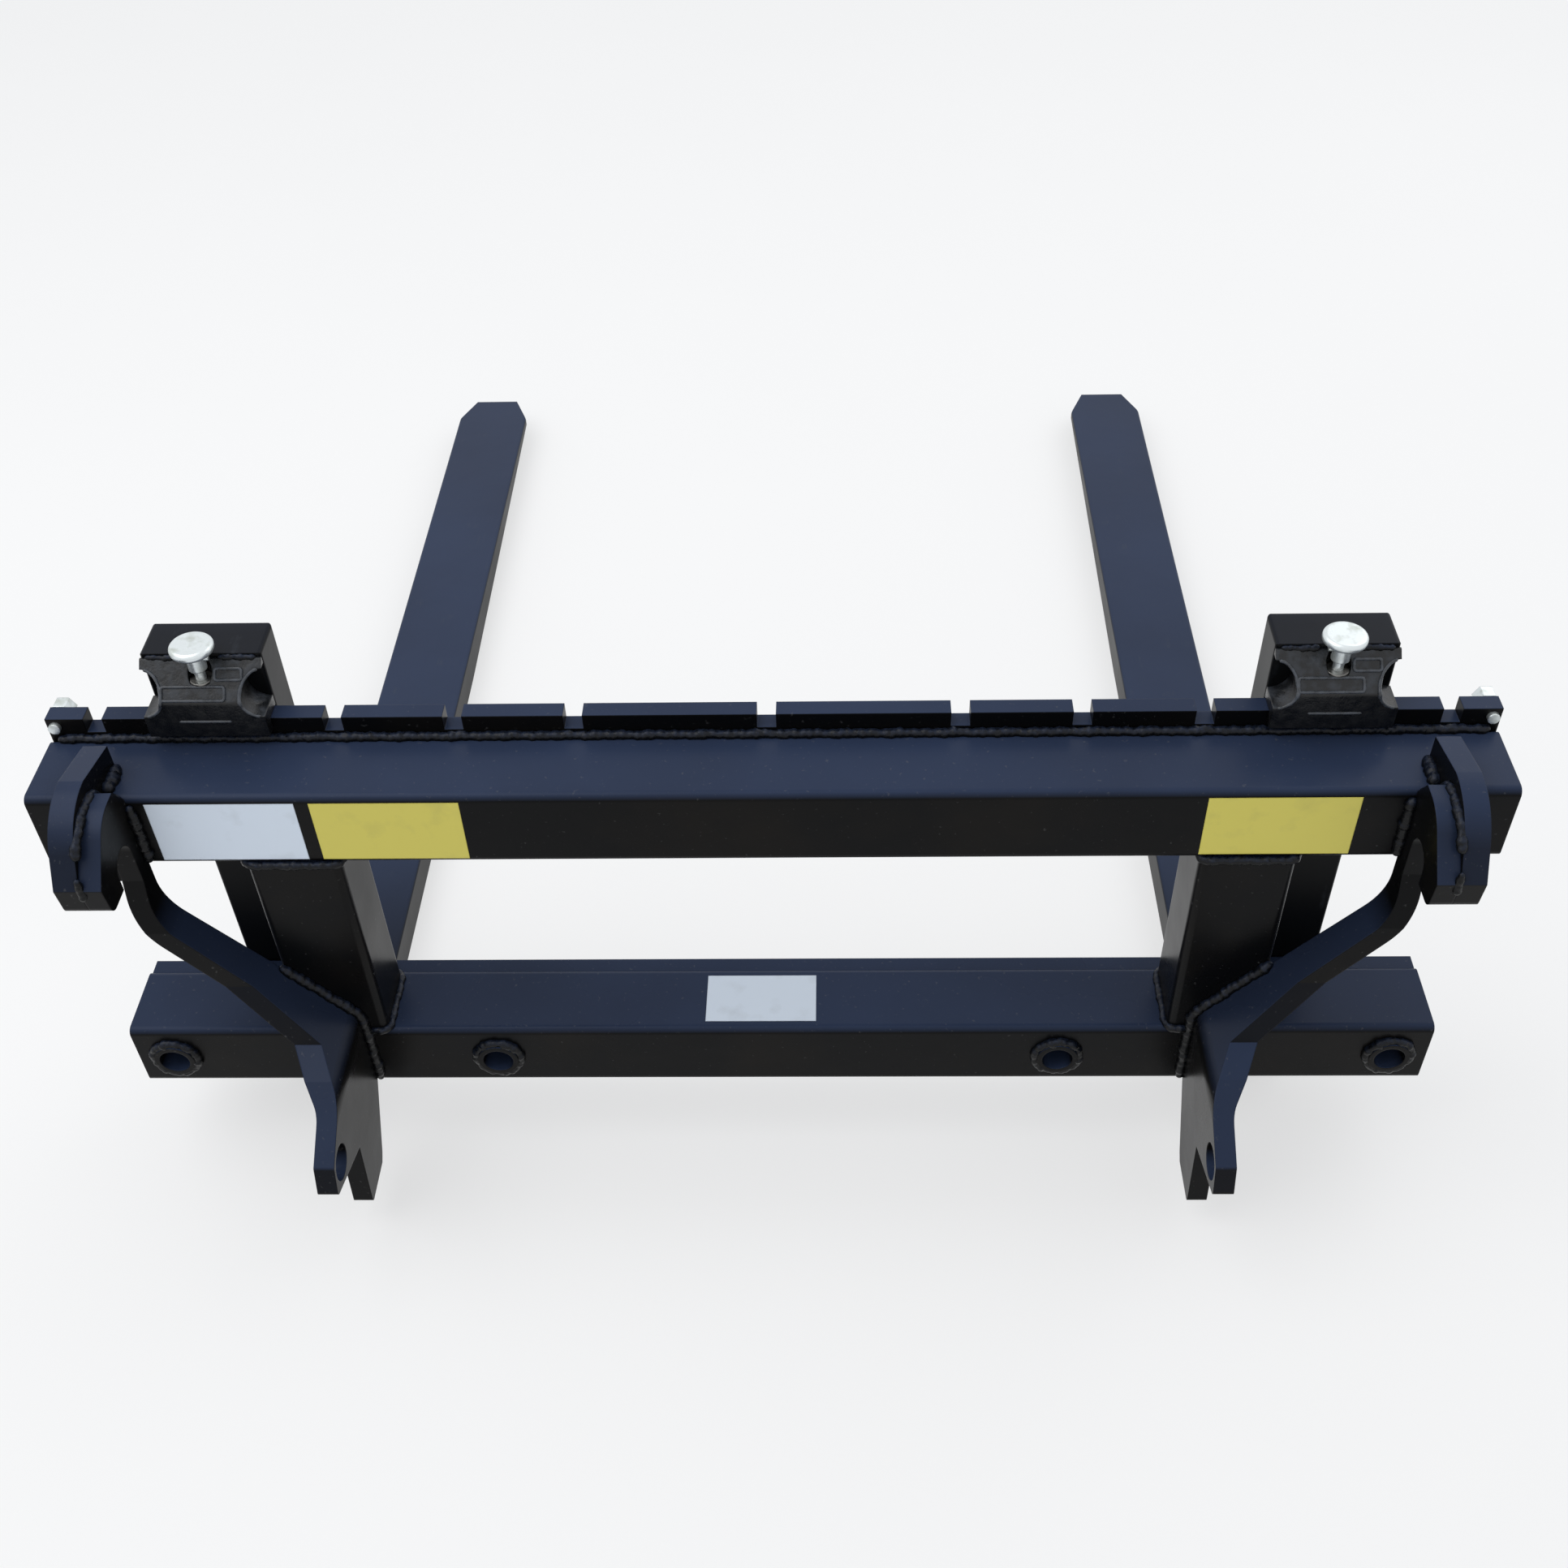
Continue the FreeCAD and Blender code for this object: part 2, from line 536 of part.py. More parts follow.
def bent_strip(name, sign):
    """The hitch plate seen from the back: vertical, diagonal, vertical."""
    body = new_body(name)
    sketch = sketch_on(body, name + "_outline", "XZ_Plane")
    mirror = "" if sign > 0 else "-"
    top, low = "Sizes.hitch_top_inner", "Sizes.hitch_low_inner"
    thick = size("Sizes.hitch_thickness")
    ceiling = "Sizes.upper_beam_top + Sizes.plate_rise + " + OVER
    floor = "Sizes.lug_low - " + OVER
    inner = [(top, ceiling), (top, "Sizes.bend_top"),
             (low, "Sizes.bend_low"), (low, floor)]
    lean = math.atan2(size("Sizes.bend_top - Sizes.bend_low"), size(top + " - " + low))
    drop = thick * math.tan((math.pi / 2 - lean) / 2)
    outer = [(size(low) + thick, size(floor)),
             (size(low) + thick, size("Sizes.bend_low") - drop),
             (size(top) + thick, size("Sizes.bend_top") - drop),
             (size(top) + thick, size(ceiling))]
    places = [V(sign * size(across), size(up), 0) for across, up in inner]
    places += [V(sign * across, up, 0) for across, up in outer]
    for number, place in enumerate(places):
        sketch.addGeometry(Part.LineSegment(place, places[(number + 1) % 8]), False)
    for number in range(8):
        sketch.addConstraint(
            Sketcher.Constraint("Coincident", number, 2, (number + 1) % 8, 1))
    for number, (across, up) in enumerate(inner):
        hold_point(sketch, number, 1, mirror + across, up)
    for face, back in ((0, 6), (1, 5), (2, 4)):
        sketch.addConstraint(Sketcher.Constraint("Parallel", face, back))
        index = sketch.addConstraint(
            Sketcher.Constraint("Distance", back, 1, face, thick))
        sketch.setExpression("Constraints[%d]" % index, "Sizes.hitch_thickness")
    for end in (3, 7):
        sketch.addConstraint(Sketcher.Constraint("Horizontal", end))
    pad(body, sketch, "%s + %s" % (LUG_Y, OVER))

    def at(across, up):
        return lambda edge, middle: (runs_along(edge, "Y")
                                     and abs(abs(middle.x) - across) < 0.5
                                     and abs(middle.z - up) < 0.5)
    round_body(body, name + "_r1", "Sizes.bend_top_radius",
               at(size(top), size("Sizes.bend_top")))
    round_body(body, name + "_r2", "Sizes.bend_top_radius + Sizes.hitch_thickness",
               at(*outer[2]))
    round_body(body, name + "_r3", "Sizes.bend_low_radius + Sizes.hitch_thickness",
               at(size(low), size("Sizes.bend_low")))
    round_body(body, name + "_r4", "Sizes.bend_low_radius", at(*outer[1]))
    return body


def hitch_outline(name):
    """The hitch plate seen from the side: hook, widening web, two-pronged lug."""
    body = new_body(name)
    sketch = sketch_on(body, name + "_outline", "YZ_Plane")
    beam_top = "Sizes.upper_beam_top"
    rear = "-" + BEAM_BACK
    lug = "Sizes.lug_back"
    hole = "Sizes.lug_hole_height"
    peak = beam_top + " + Sizes.plate_rise"
    points = [(rear, "Sizes.plate_foot"), (rear, beam_top),
              (behind("Sizes.plate_peak_front"), peak),
              (behind("Sizes.plate_peak_back"), peak)]
    points += throat_points(UPPER_BOTTOM)
    points += [(behind("Sizes.waist_back"), "Sizes.waist_top"),
               (behind("Sizes.web_back"), "Sizes.web_height"),
               (behind("Sizes.neck_back"), "Sizes.neck_height"),
               (behind("Sizes.crest_back"), hole + " + Sizes.crest_rise"),
               (behind(lug + " - Sizes.crown_back"), hole + " + Sizes.crown_rise"),
               (behind(lug), hole + " - Sizes.lug_drop"),
               (behind("Sizes.jaw_back"), hole + " - Sizes.jaw_drop"),
               (behind("Sizes.prong_back"), "Sizes.lug_low"),
               (behind("Sizes.prong_front"), "Sizes.lug_low"),
               (behind("Sizes.prong_front - Sizes.prong_corner"),
                "Sizes.lug_low + Sizes.prong_corner")]
    outline(sketch, points)
    ring(sketch, behind("Sizes.lug_hole_back"), "Sizes.lug_hole_height", "Sizes.lug_hole")
    pad(body, sketch, "2 * (Sizes.hitch_top_inner + Sizes.hitch_thickness + %s)" % OVER,
        True)
    throat = size("Sizes.throat_top")
    round_body(body, name + "_throat", "Sizes.throat_width / 2 - " + SLIVER,
               lambda edge, middle: runs_along(edge, "X")
               and abs(middle.z - throat) < 0.5)
    round_body(body, name + "_crown", "Sizes.plate_crown_radius", lambda edge, middle:
               runs_along(edge, "X") and abs(middle.z - size(peak)) < 0.5
               and abs(middle.y - size(behind("Sizes.plate_peak_back"))) < 0.5)
    round_body(body, name + "_tip", "Sizes.finger_radius", at_finger_tip)
    round_body(body, name + "_lug", "Sizes.lug_radius", lambda edge, middle:
               runs_along(edge, "X") and middle.y < size(behind("Sizes.prong_back"))
               + 0.5 and middle.z < size(hole + " + Sizes.crown_rise") + 0.5)
    return body


for side, sign in (("left", -1), ("right", 1)):
    outer_hook("hook_" + side, side, sign)
    plate = doc.addObject("Part::Common", "hitch_" + side)
    plate.Base = bent_strip("strip_" + side, sign)
    plate.Tool = hitch_outline("side_view_" + side)
    doc.recompute()
    finish(plate, "hitch_plate_" + side)

# ---------------------------------------------------------------- tines

def tine(side, x):
    """One forged piece: the upright shank, the heel and the tapered blade."""
    body = new_body("tine_" + side)
    sketch = sketch_on(body, "tine_side_" + side, "YZ_Plane")
    rear, thick = "Sizes.slide_gap", "Sizes.fork_thickness"
    outline(sketch, [
        (rear, "0"), ("%s - Sizes.taper_length" % TIP_Y, "0"),
        (TIP_Y, "%s - Sizes.tip_thickness" % thick), (TIP_Y, thick),
        (SHANK_FRONT, thick), (SHANK_FRONT, "Sizes.shank_top"),
        (rear, "Sizes.shank_top")])
    pad(body, sketch, "Sizes.fork_width", True)
    plan = sketch_on(body, "tine_plan_" + side, "XY_Plane")
    half, narrow = "Sizes.fork_width / 2", "Sizes.tip_width / 2"
    start = "%s - Sizes.tip_taper" % TIP_Y
    for mirror in ("", "-"):
        outline(plan, [("%s(%s)" % (mirror, half), start),
                       ("%s(%s + %s)" % (mirror, half, OVER), start),
                       ("%s(%s + %s)" % (mirror, half, OVER), "%s + %s" % (TIP_Y, OVER)),
                       ("%s(%s)" % (mirror, narrow), "%s + %s" % (TIP_Y, OVER)),
                       ("%s(%s)" % (mirror, narrow), TIP_Y)])
    pocket(body, plan, "2 * Sizes.fork_thickness + " + OVER)
    width = size("Sizes.fork_width")
    round_body(body, "tine_heel_" + side, "Sizes.heel_radius",
               lambda edge, middle: runs_along(edge, "X")
               and abs(middle.z) < 0.5 and abs(middle.y - size(rear)) < 0.5)
    round_body(body, "tine_inside_" + side, "Sizes.heel_radius / 2",
               lambda edge, middle: runs_along(edge, "X")
               and abs(middle.z - size(thick)) < 0.5
               and abs(middle.y - size(SHANK_FRONT)) < 0.5)
    round_body(body, "tine_edges_" + side, "Sizes.tine_edge", lambda edge, middle:
               (runs_along(edge, "Y") or runs_along(edge, "Z"))
               and abs(abs(middle.x) - width / 2) < 0.5
               and middle.z > size(thick) - 0.5)
    finish(body, "fork_" + side, x)


SPOT_GAP = "0.5"


def upper_hook(side, x):
    """Cast hook over the upper bar, with the latch bore and waisted sides."""
    body = new_body("uhook_" + side)
    sketch = sketch_on(body, "uhook_side_" + side, "YZ_Plane")
    gap, top = "Sizes.slide_gap", "Sizes.bar_top"
    inner = "-(Sizes.bar_thickness + Sizes.slide_gap)"
    outer = "-(Sizes.bar_thickness + Sizes.slide_gap + Sizes.lip_thickness)"
    lip = "%s - Sizes.lip_depth" % top
    crown = "%s + Sizes.hook_block_rise" % top
    outline(sketch, [
        (gap, "%s + %s" % (top, gap)), (gap, crown), ("-" + gap, crown),
        (outer, "%s + Sizes.hook_shoulder" % top), (outer, lip), (inner, lip),
        (inner, "%s + %s" % (top, gap))])
    pad(body, sketch, "Sizes.fork_width", True)
    doc.recompute()
    round_body(body, "uhook_soft_" + side, "Sizes.hook_soft", lambda edge, middle:
               runs_along(edge, "X") and middle.y < size(outer) + 0.5
               and middle.z > size(top))
    cutters = []
    for name, mark in (("a", "-"), ("b", "")):
        cutters.append(cylinder("waist_%s_%s" % (name, side), "Sizes.hook_waist",
                                "%s - %s + %s" % (gap, outer, OVER),
                                "%sSizes.fork_width / 2" % mark, outer,
                                "%s + Sizes.waist_rise" % top, "Y"))
    spot = "%s + Sizes.spot_height" % top
    cutters.append(cylinder("latch_bore_" + side,
                            "Sizes.pin_diameter / 2 + Sizes.fit_gap",
                            "Sizes.hook_block_rise + " + OVER, "0", "-" + PIN_Y, top))
    cutters.append(cylinder("latch_spot_" + side, "Sizes.bush_collar / 2 + " + SPOT_GAP,
                            "Sizes.hook_block_rise", "0", "-" + PIN_Y, spot))
    finish(cut("upper_hook_" + side, body, cutters), "upper_hook_" + side, x)


def lower_hook(side, x):
    """Hook under the lower bar, with a lip that laps the bar from behind."""
    body = new_body("lhook_" + side)
    sketch = sketch_on(body, "lhook_side_" + side, "YZ_Plane")
    gap, low = "Sizes.slide_gap", "Sizes.bar_bottom"
    inner = "-(Sizes.bar_thickness + Sizes.slide_gap)"
    outer = "-(Sizes.bar_thickness + Sizes.slide_gap + Sizes.low_lip_thickness)"
    ceiling = "%s - %s" % (low, gap)
    bottom = "%s - Sizes.low_hook_depth" % ceiling
    outline(sketch, [
        (gap, ceiling), (gap, bottom), (outer, bottom),
        (outer, "%s + Sizes.low_lip_rise" % low), (inner, "%s + Sizes.low_lip_rise" % low),
        (inner, ceiling)])
    pad(body, sketch, "Sizes.fork_width", True)
    round_body(body, "lhook_soft_" + side, "Sizes.low_hook_soft", lambda edge, middle:
               runs_along(edge, "X") and middle.y < size(outer) + 0.5)
    finish(body, "lower_hook_" + side, x)


# ---------------------------------------------------------------- latches

def latch(side, x):
    """Latch of one tine, raised: pin, guide bush, spring, knob and cross pin."""
    top, y = "Sizes.bar_top", "-" + PIN_Y
    low = "(%s + Sizes.pin_lift)" % top
    shoulder = "(%s + Sizes.pin_body)" % low
    spot = "(%s + Sizes.spot_height)" % top
    fall = "Sizes.latch_travel + Sizes.drop_gap"
    hub_base = "(%s + Sizes.collar_height + %s)" % (spot, fall)
    cap_base = "(Sizes.shank_top + %s)" % fall
    cross_z = "%s + Sizes.cross_rise" % hub_base

    thick = cylinder("pin_thick_" + side, "Sizes.pin_diameter / 2", "Sizes.pin_body",
                     "0", y, low)
    neck = cylinder("pin_neck_" + side, "Sizes.pin_neck / 2",
                    "%s - %s" % (hub_base, shoulder), "0", y, shoulder)
    finish(fuse("latch_pin_" + side, [thick, neck]), "latch_pin_" + side, x)

    plug = cylinder("bush_plug_" + side, "Sizes.pin_diameter / 2", "Sizes.bush_length",
                    "0", y, "%s - Sizes.bush_length" % spot)
    collar = cylinder("bush_collar_" + side, "Sizes.bush_collar / 2",
                      "Sizes.collar_height", "0", y, spot)
    bore = cylinder("bush_bore_" + side, "Sizes.pin_neck / 2 + Sizes.fit_gap",
                    "Sizes.spot_height + " + OVER, "0", y, top)
    bush = cut("latch_bush_" + side, fuse("bush_" + side, [plug, collar]), [bore])
    finish(bush, "latch_bush_" + side, x)

    cap = doc.addObject("Part::Cylinder", "knob_cap_" + side)
    bind(cap, Radius="Sizes.knob_diameter / 2", Height="Sizes.knob_height",
         Placement__Base__y=y, Placement__Base__z=cap_base)
    cap = rounded("knob_" + side, cap, "Sizes.knob_round",
                  lambda edge, middle: isinstance(edge.Curve, Part.Circle))
    hub = cylinder("knob_hub_" + side, "Sizes.knob_hub / 2",
                   "%s - %s + Sizes.knob_height / 2" % (cap_base, hub_base), "0", y,
                   hub_base)
    hole = cylinder("cross_hole_" + side, "Sizes.cross_pin / 2",
                    "Sizes.cross_pin_length", "-Sizes.cross_pin_length / 2", y, cross_z,
                    "X")
    knob = cut("latch_knob_" + side, fuse("knob_" + side, [cap, hub]), [hole])
    finish(knob, "latch_knob_" + side, x)

    cross = cylinder("cross_" + side, "Sizes.cross_pin / 2", "Sizes.cross_pin_length",
                     "-Sizes.cross_pin_length / 2", y, cross_z, "X")
    finish(alone("cross_" + side, cross), "latch_cross_pin_" + side, x)

    coil_spring(side, x, y, shoulder, "(%s - Sizes.bush_length)" % spot)


def coil_spring(side, x, y, low, high):
    """A compression spring between two heights, around the pin's neck."""
    body = new_body("spring_" + side)
    sketch = sketch_on(body, "spring_wire_" + side, "XZ_Plane")
    end_gap = "(Sizes.spring_wire / 2 + Sizes.spring_room)"
    ring(sketch, "(Sizes.pin_neck + Sizes.spring_wire) / 2 + Sizes.spring_loose", end_gap,
         "Sizes.spring_wire")
    helix = body.newObject("PartDesign::AdditiveHelix", "spring_helix_" + side)
    helix.Profile = sketch
    helix.ReferenceAxis = (sketch, ["V_Axis"])
    helix.Mode = "pitch-height-angle"
    height = "(%s - %s - 2 * %s)" % (high, low, end_gap)
    bind(helix, Height=height, Pitch=height + " / Sizes.spring_turns")
    doc.recompute()
    finish(body, "latch_spring_" + side, x, y, low)


FORKS = (("left", "-" + FORK_X), ("right", FORK_X))
for side, x in FORKS:
    tine(side, x)
    upper_hook(side, x)
    lower_hook(side, x)
    latch(side, x)

# ---------------------------------------------------------------- stop bolts

for side, sign in (("left", "-1"), ("right", "1")):
    head = doc.addObject("Part::Prism", "stop_head_" + side)
    head.Polygon = 6
    head.Placement = App.Placement(V(), App.Rotation(V(-1, 0, 0), 90))
    bind(head, Circumradius="Sizes.stop_head / 2 / cos(30deg)",
         Height="Sizes.stop_head_depth",
         Placement__Base__z="Sizes.bar_top - Sizes.stop_drop")
    stem = cylinder("stop_stem_" + side, "Sizes.stop_diameter / 2",
                    "Sizes.bar_thickness + Sizes.stop_proud", "0",
                    "-(Sizes.bar_thickness + Sizes.stop_proud)",
                    "Sizes.bar_top - Sizes.stop_drop", "Y")
    finish(fuse("stop_" + side, [head, stem]), "end_stop_bolt_" + side,
           "%s * (Sizes.frame_width / 2 - Sizes.stop_inset)" % sign)

# ---------------------------------------------------------------- blank labels

def label(name, long, high, thick, x, y, z):
    """A blank plate or sticker: a thin box whose lowest corner is at x, y, z."""
    plate = box(name + "_blank", long, thick, high, "-%s / 2" % long)
    finish(alone(name, plate), name, x, y, z)


for name, x in (("blank_plate", "Sizes.plate_x"),
                ("blank_label_left", "Sizes.label_left_x"),
                ("blank_label_right", "Sizes.label_right_x")):
    label(name, "Sizes.label_length", "Sizes.label_height", "Sizes.label_thickness",
          x, "-(%s + Sizes.label_thickness)" % BEAM_BACK,
          "Sizes.upper_beam_top - (Sizes.tube_size + Sizes.label_height) / 2")
label("blank_sticker", "Sizes.sticker_length", "Sizes.label_thickness",
      "Sizes.sticker_depth", "Sizes.sticker_x",
      "-%s + (Sizes.tube_size - Sizes.sticker_depth) / 2" % BEAM_BACK,
      LOWER_TOP)

# ---------------------------------------------------------------- checks and files

doc.recompute()
for obj in doc.Objects:
    for bad in ("Invalid", "Error"):
        if bad in obj.State:
            raise RuntimeError("%s (%s) is %s" % (obj.Name, obj.Label, obj.State))
for obj in parts:
    if obj.Shape.isNull() or not obj.Shape.isValid() or not obj.Shape.Solids:
        raise RuntimeError("%s has no valid solid" % obj.Label)

os.makedirs("parts", exist_ok=True)
for obj in parts:
    obj.Shape.exportStep("parts/%s.step" % obj.Label)
    print("%-28s solids %d  volume %.0f" % (obj.Label, len(obj.Shape.Solids),
                                          obj.Shape.Volume))
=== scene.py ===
"""Looks of the pallet fork attachment: paint, plating, weld beads, cast details and the studio.

The frame is metres, +X to the right seen from the tractor, +Y along the tines, +Z up.
Every weld and raised mark is a ridge: a section carried along a path on a grid of
stations and angles, worked out as whole arrays.
"""
import json
import math

import bpy
import numpy as np
from bpy.props import FloatProperty, FloatVectorProperty, IntProperty, PointerProperty
from bpy.types import Operator, Panel, PropertyGroup
from mathutils import Matrix, Vector


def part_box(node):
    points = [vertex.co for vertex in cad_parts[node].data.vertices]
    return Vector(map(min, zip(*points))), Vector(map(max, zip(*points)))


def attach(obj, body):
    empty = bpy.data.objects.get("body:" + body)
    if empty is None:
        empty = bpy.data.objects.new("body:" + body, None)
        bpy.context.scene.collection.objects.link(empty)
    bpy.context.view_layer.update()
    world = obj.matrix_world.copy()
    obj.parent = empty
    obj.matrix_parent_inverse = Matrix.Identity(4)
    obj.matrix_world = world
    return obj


bl_info = {
    "name": "Pallet fork attachment looks",
    "version": (1, 0, 0),
    "blender": (4, 5, 0),
    "location": "View3D > Sidebar > Forks",
    "description": "Weld beads, cast details, finishes and studio of a pallet fork attachment",
    "category": "Object",
}

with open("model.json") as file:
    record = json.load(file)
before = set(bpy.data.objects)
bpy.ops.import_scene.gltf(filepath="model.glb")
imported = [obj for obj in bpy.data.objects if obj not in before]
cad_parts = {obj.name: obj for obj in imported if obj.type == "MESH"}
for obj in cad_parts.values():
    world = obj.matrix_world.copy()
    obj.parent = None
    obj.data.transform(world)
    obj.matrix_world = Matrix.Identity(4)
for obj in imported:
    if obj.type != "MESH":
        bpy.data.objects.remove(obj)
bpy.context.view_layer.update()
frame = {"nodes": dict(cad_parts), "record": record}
SIDES = (("left", -1), ("right", 1))
SHORT_EASE = 0.004


def linear(hex_code):
    """An sRGB hex value such as 0x2A2C30 as linear red, green and blue."""
    shares = np.array([hex_code >> 16 & 255, hex_code >> 8 & 255, hex_code & 255]) / 255
    return tuple(np.where(shares <= 0.04045, shares / 12.92, ((shares + 0.055) / 1.055) ** 2.4))


def colour(name, hex_code, description):
    """A colour property whose default is an sRGB hex value."""
    return FloatVectorProperty(name=name, description=description, subtype="COLOR", size=3,
                               min=0, max=1, default=linear(hex_code))


def length(name, default, description):
    """A length property, in metres."""
    return FloatProperty(name=name, description=description, default=default, min=0,
                         subtype="DISTANCE", unit="LENGTH", precision=4)


class ForkSizes(PropertyGroup):
    """Sizes of the beads and marks that the looks add."""
    bead_radius: length("Bead radius", 0.0046, "Half width of an ordinary weld bead")
    heavy_radius: length("Heavy bead radius", 0.0066, "Half width of the beads at the hooks")
    cap_radius: length("Cap bead radius", 0.0028, "Half width of the beads at the end caps")
    shank_radius: length("Shank bead radius", 0.003, "Half width of the castings' beads")
    bead_pitch: length("Ripple pitch", 0.0062, "Distance from one weld ripple to the next")
    bead_step: length("Station step", 0.0011, "Distance between stations along a bead")
    rim_radius: length("Casting rim radius", 0.0014, "Half width of the rims of the castings")
    mark_radius: length("Casting mark radius", 0.0013, "Half width of the raised cast frames")
    edge_round: length("Edge round", 0.0016, "How far the eye sees a plate's edge as rounded")
    bead_sides: IntProperty(name="Bead sides", default=14, min=6, max=48,
                            description="Faces around a bead")


class ForkColours(PropertyGroup):
    """Colours of the finishes, with the painted sky and ground reflections, the painted sheen
    and the painted highlights.
    """
    enamel: colour("Black enamel", 0x07080A, "Frame paint")
    # Painted reflection of the pale sky on upward faces of the frame and its welds.
    enamel_sky_reflection: colour("Film on the enamel", 0x2E3951, "Blue-grey film on upward faces")
    # Painted reflection of the brown ground, in patches on upright faces.
    enamel_ground_reflection: colour("Dust on the sides", 0x14110E, "Brown road dust on upright faces")
    tine_paint: colour("Tine paint", 0x08090B, "Paint of the tines")
    # Painted reflection of the pale sky on the blades' upward faces.
    tine_sky_reflection: colour("Film on the tines", 0x323D55, "Blue-grey film on the blades")
    cast_paint: colour("Casting paint", 0x0A0B0D, "Paint of the castings")
    # Worn grey on the tines; on the castings, painted sheen on upward faces and painted
    # highlight on the rims.
    worn_grey_and_sheen: colour("Worn casting", 0x474C54, "High spots of the castings")
    zinc: colour("Zinc", 0xDDE4E6, "Plating of the knobs, pins and bolts")
    zinc_dull: colour("Dull zinc", 0xA9AFA6, "Passivated patches of the plating")
    steel: colour("Oiled steel", 0x8C8B88, "Bushes and springs")
    label_white: colour("White film", 0xDCE6F2, "Blank plate and sticker")
    label_yellow: colour("Yellow film", 0xD8CC5C, "Blank labels")
    label_dirt: colour("Dirt on the labels", 0x6E6A5C, "Grime at the labels' edges")
    floor: colour("Floor", 0xF6F6F6, "Studio floor")


# ---------------------------------------------------------------- surfaces

def eased(corners, step, window):
    """Stations every step along straight runs between corners, where a moving average
    as long as the window eases each corner; the two ends stay where they are."""
    corners = np.asarray(corners, float)
    runs = np.linalg.norm(np.diff(corners, axis=0), axis=1)
    along = np.concatenate(([0.0], np.cumsum(runs)))
    places = np.linspace(0, along[-1], max(4, int(along[-1] / step)))
    line = np.stack([np.interp(places, along, corners[:, k]) for k in range(3)], axis=1)
    reach = max(1, int(window / step / 2))
    padded = np.concatenate((2 * line[:1] - line[reach:0:-1], line,
                             2 * line[-1:] - line[-2:-reach - 2:-1]))
    kernel = np.ones(2 * reach + 1) / (2 * reach + 1)
    return np.stack([np.convolve(padded[:, k], kernel, "valid") for k in range(3)], axis=1)


def ridge(line, out, radius, sides, closed=False, pitch=0.0, ripple=0.0, lump=0.0, seed=0):
    """A ridge along a line of stations, as (places, blocks), where each block is an array
    of faces with the same number of corners.

    Place(s, a) = line(s) + r(s, a) (cos a out + sin a side), where side is the line's
    direction crossed with out. r(s, a) is the radius times 1 - ripple (1 - |sin of pi u|)
    with u = s / pitch + 0.35 sin^2 a, which makes overlapping coins, times 1 + lump times
    a sum of three sines of s with seeded phases. At open ends r follows a quarter circle
    down to a point's width, and a small face closes it.
    """
    line = np.asarray(line, float)
    count = len(line)
    if closed:
        along = np.roll(line, -1, axis=0) - np.roll(line, 1, axis=0)
    else:
        along = np.gradient(line, axis=0)
    along /= np.linalg.norm(along, axis=1, keepdims=True)
    out = np.broadcast_to(np.asarray(out, float), line.shape)
    out = out - (out * along).sum(1, keepdims=True) * along
    out = out / np.linalg.norm(out, axis=1, keepdims=True)
    side = np.cross(along, out)
    steps = np.linalg.norm(np.diff(line, axis=0), axis=1)
    s = np.concatenate(([0.0], np.cumsum(steps)))[:, None]
    a = np.linspace(0, 2 * math.pi, sides, endpoint=False)[None, :]
    size = np.full((count, sides), float(radius))
    whole = s[-1, 0] + np.linalg.norm(line[0] - line[-1]) if closed else s[-1, 0]
    if pitch:
        turns = max(1, round(whole / pitch))
        u = s / whole * turns + 0.35 * np.sin(a) ** 2
        size *= 1 - ripple * (1 - np.abs(np.sin(math.pi * u)))
    if lump:
        phases = np.random.default_rng(seed).uniform(0, 2 * math.pi, (3, 2))
        for (first, second), wave in zip(phases, (0.011, 0.023, 0.041)):
            turns = max(1, round(whole / wave))
            size *= 1 + lump / 2 * np.sin(2 * math.pi * turns * s / whole + first
                                          + 0.8 * np.sin(a + second))
    if not closed:
        end = np.minimum(s, s[-1] - s) / (1.5 * radius)
        size *= np.sqrt(np.clip(1 - (1 - np.clip(end, 0, 1)) ** 2, 0.002, 1))
    places = (line[:, None] + size[..., None]
              * (np.cos(a)[..., None] * out[:, None] + np.sin(a)[..., None] * side[:, None]))
    i = np.arange(count if closed else count - 1)[:, None]
    j = np.arange(sides)[None, :]
    here, there = i * sides, (i + 1) % count * sides
    quads = np.stack(np.broadcast_arrays(here + j, here + (j + 1) % sides,
                                         there + (j + 1) % sides, there + j), axis=-1)
    blocks = [quads.reshape(-1, 4)]
    if not closed:
        ring = np.arange(sides)
        blocks.append(np.stack((ring[::-1], ring + (count - 1) * sides)))
    return places.reshape(-1, 3), blocks


def rounded_loop(centre, across, up, wide, high, corner, step):
    """Stations round a rectangle with quarter-circle corners in the plane of two axes.
    Place(t) = centre + across x(t) + up y(t), anticlockwise seen against across x up."""
    # A quarter circle is about 1.6 times its radius long.
    quarter = np.linspace(0, math.pi / 2, max(3, int(corner * 1.6 / step)))
    corners = []
    for number, (sx, sy) in enumerate(((1, 1), (-1, 1), (-1, -1), (1, -1))):
        angle = quarter + number * math.pi / 2
        corners.append(np.stack((sx * (wide / 2 - corner) + corner * np.cos(angle),
                                 sy * (high / 2 - corner) + corner * np.sin(angle)), 1))
    loop = np.concatenate(corners)
    loop = np.concatenate((loop, loop[:1]))
    s = np.concatenate(([0], np.cumsum(np.linalg.norm(np.diff(loop, axis=0), axis=1))))
    t = np.linspace(0, s[-1], int(s[-1] / step), endpoint=False)
    x, y = np.interp(t, s, loop[:, 0]), np.interp(t, s, loop[:, 1])
    return (np.asarray(centre) + x[:, None] * np.asarray(across, float)
            + y[:, None] * np.asarray(up, float))


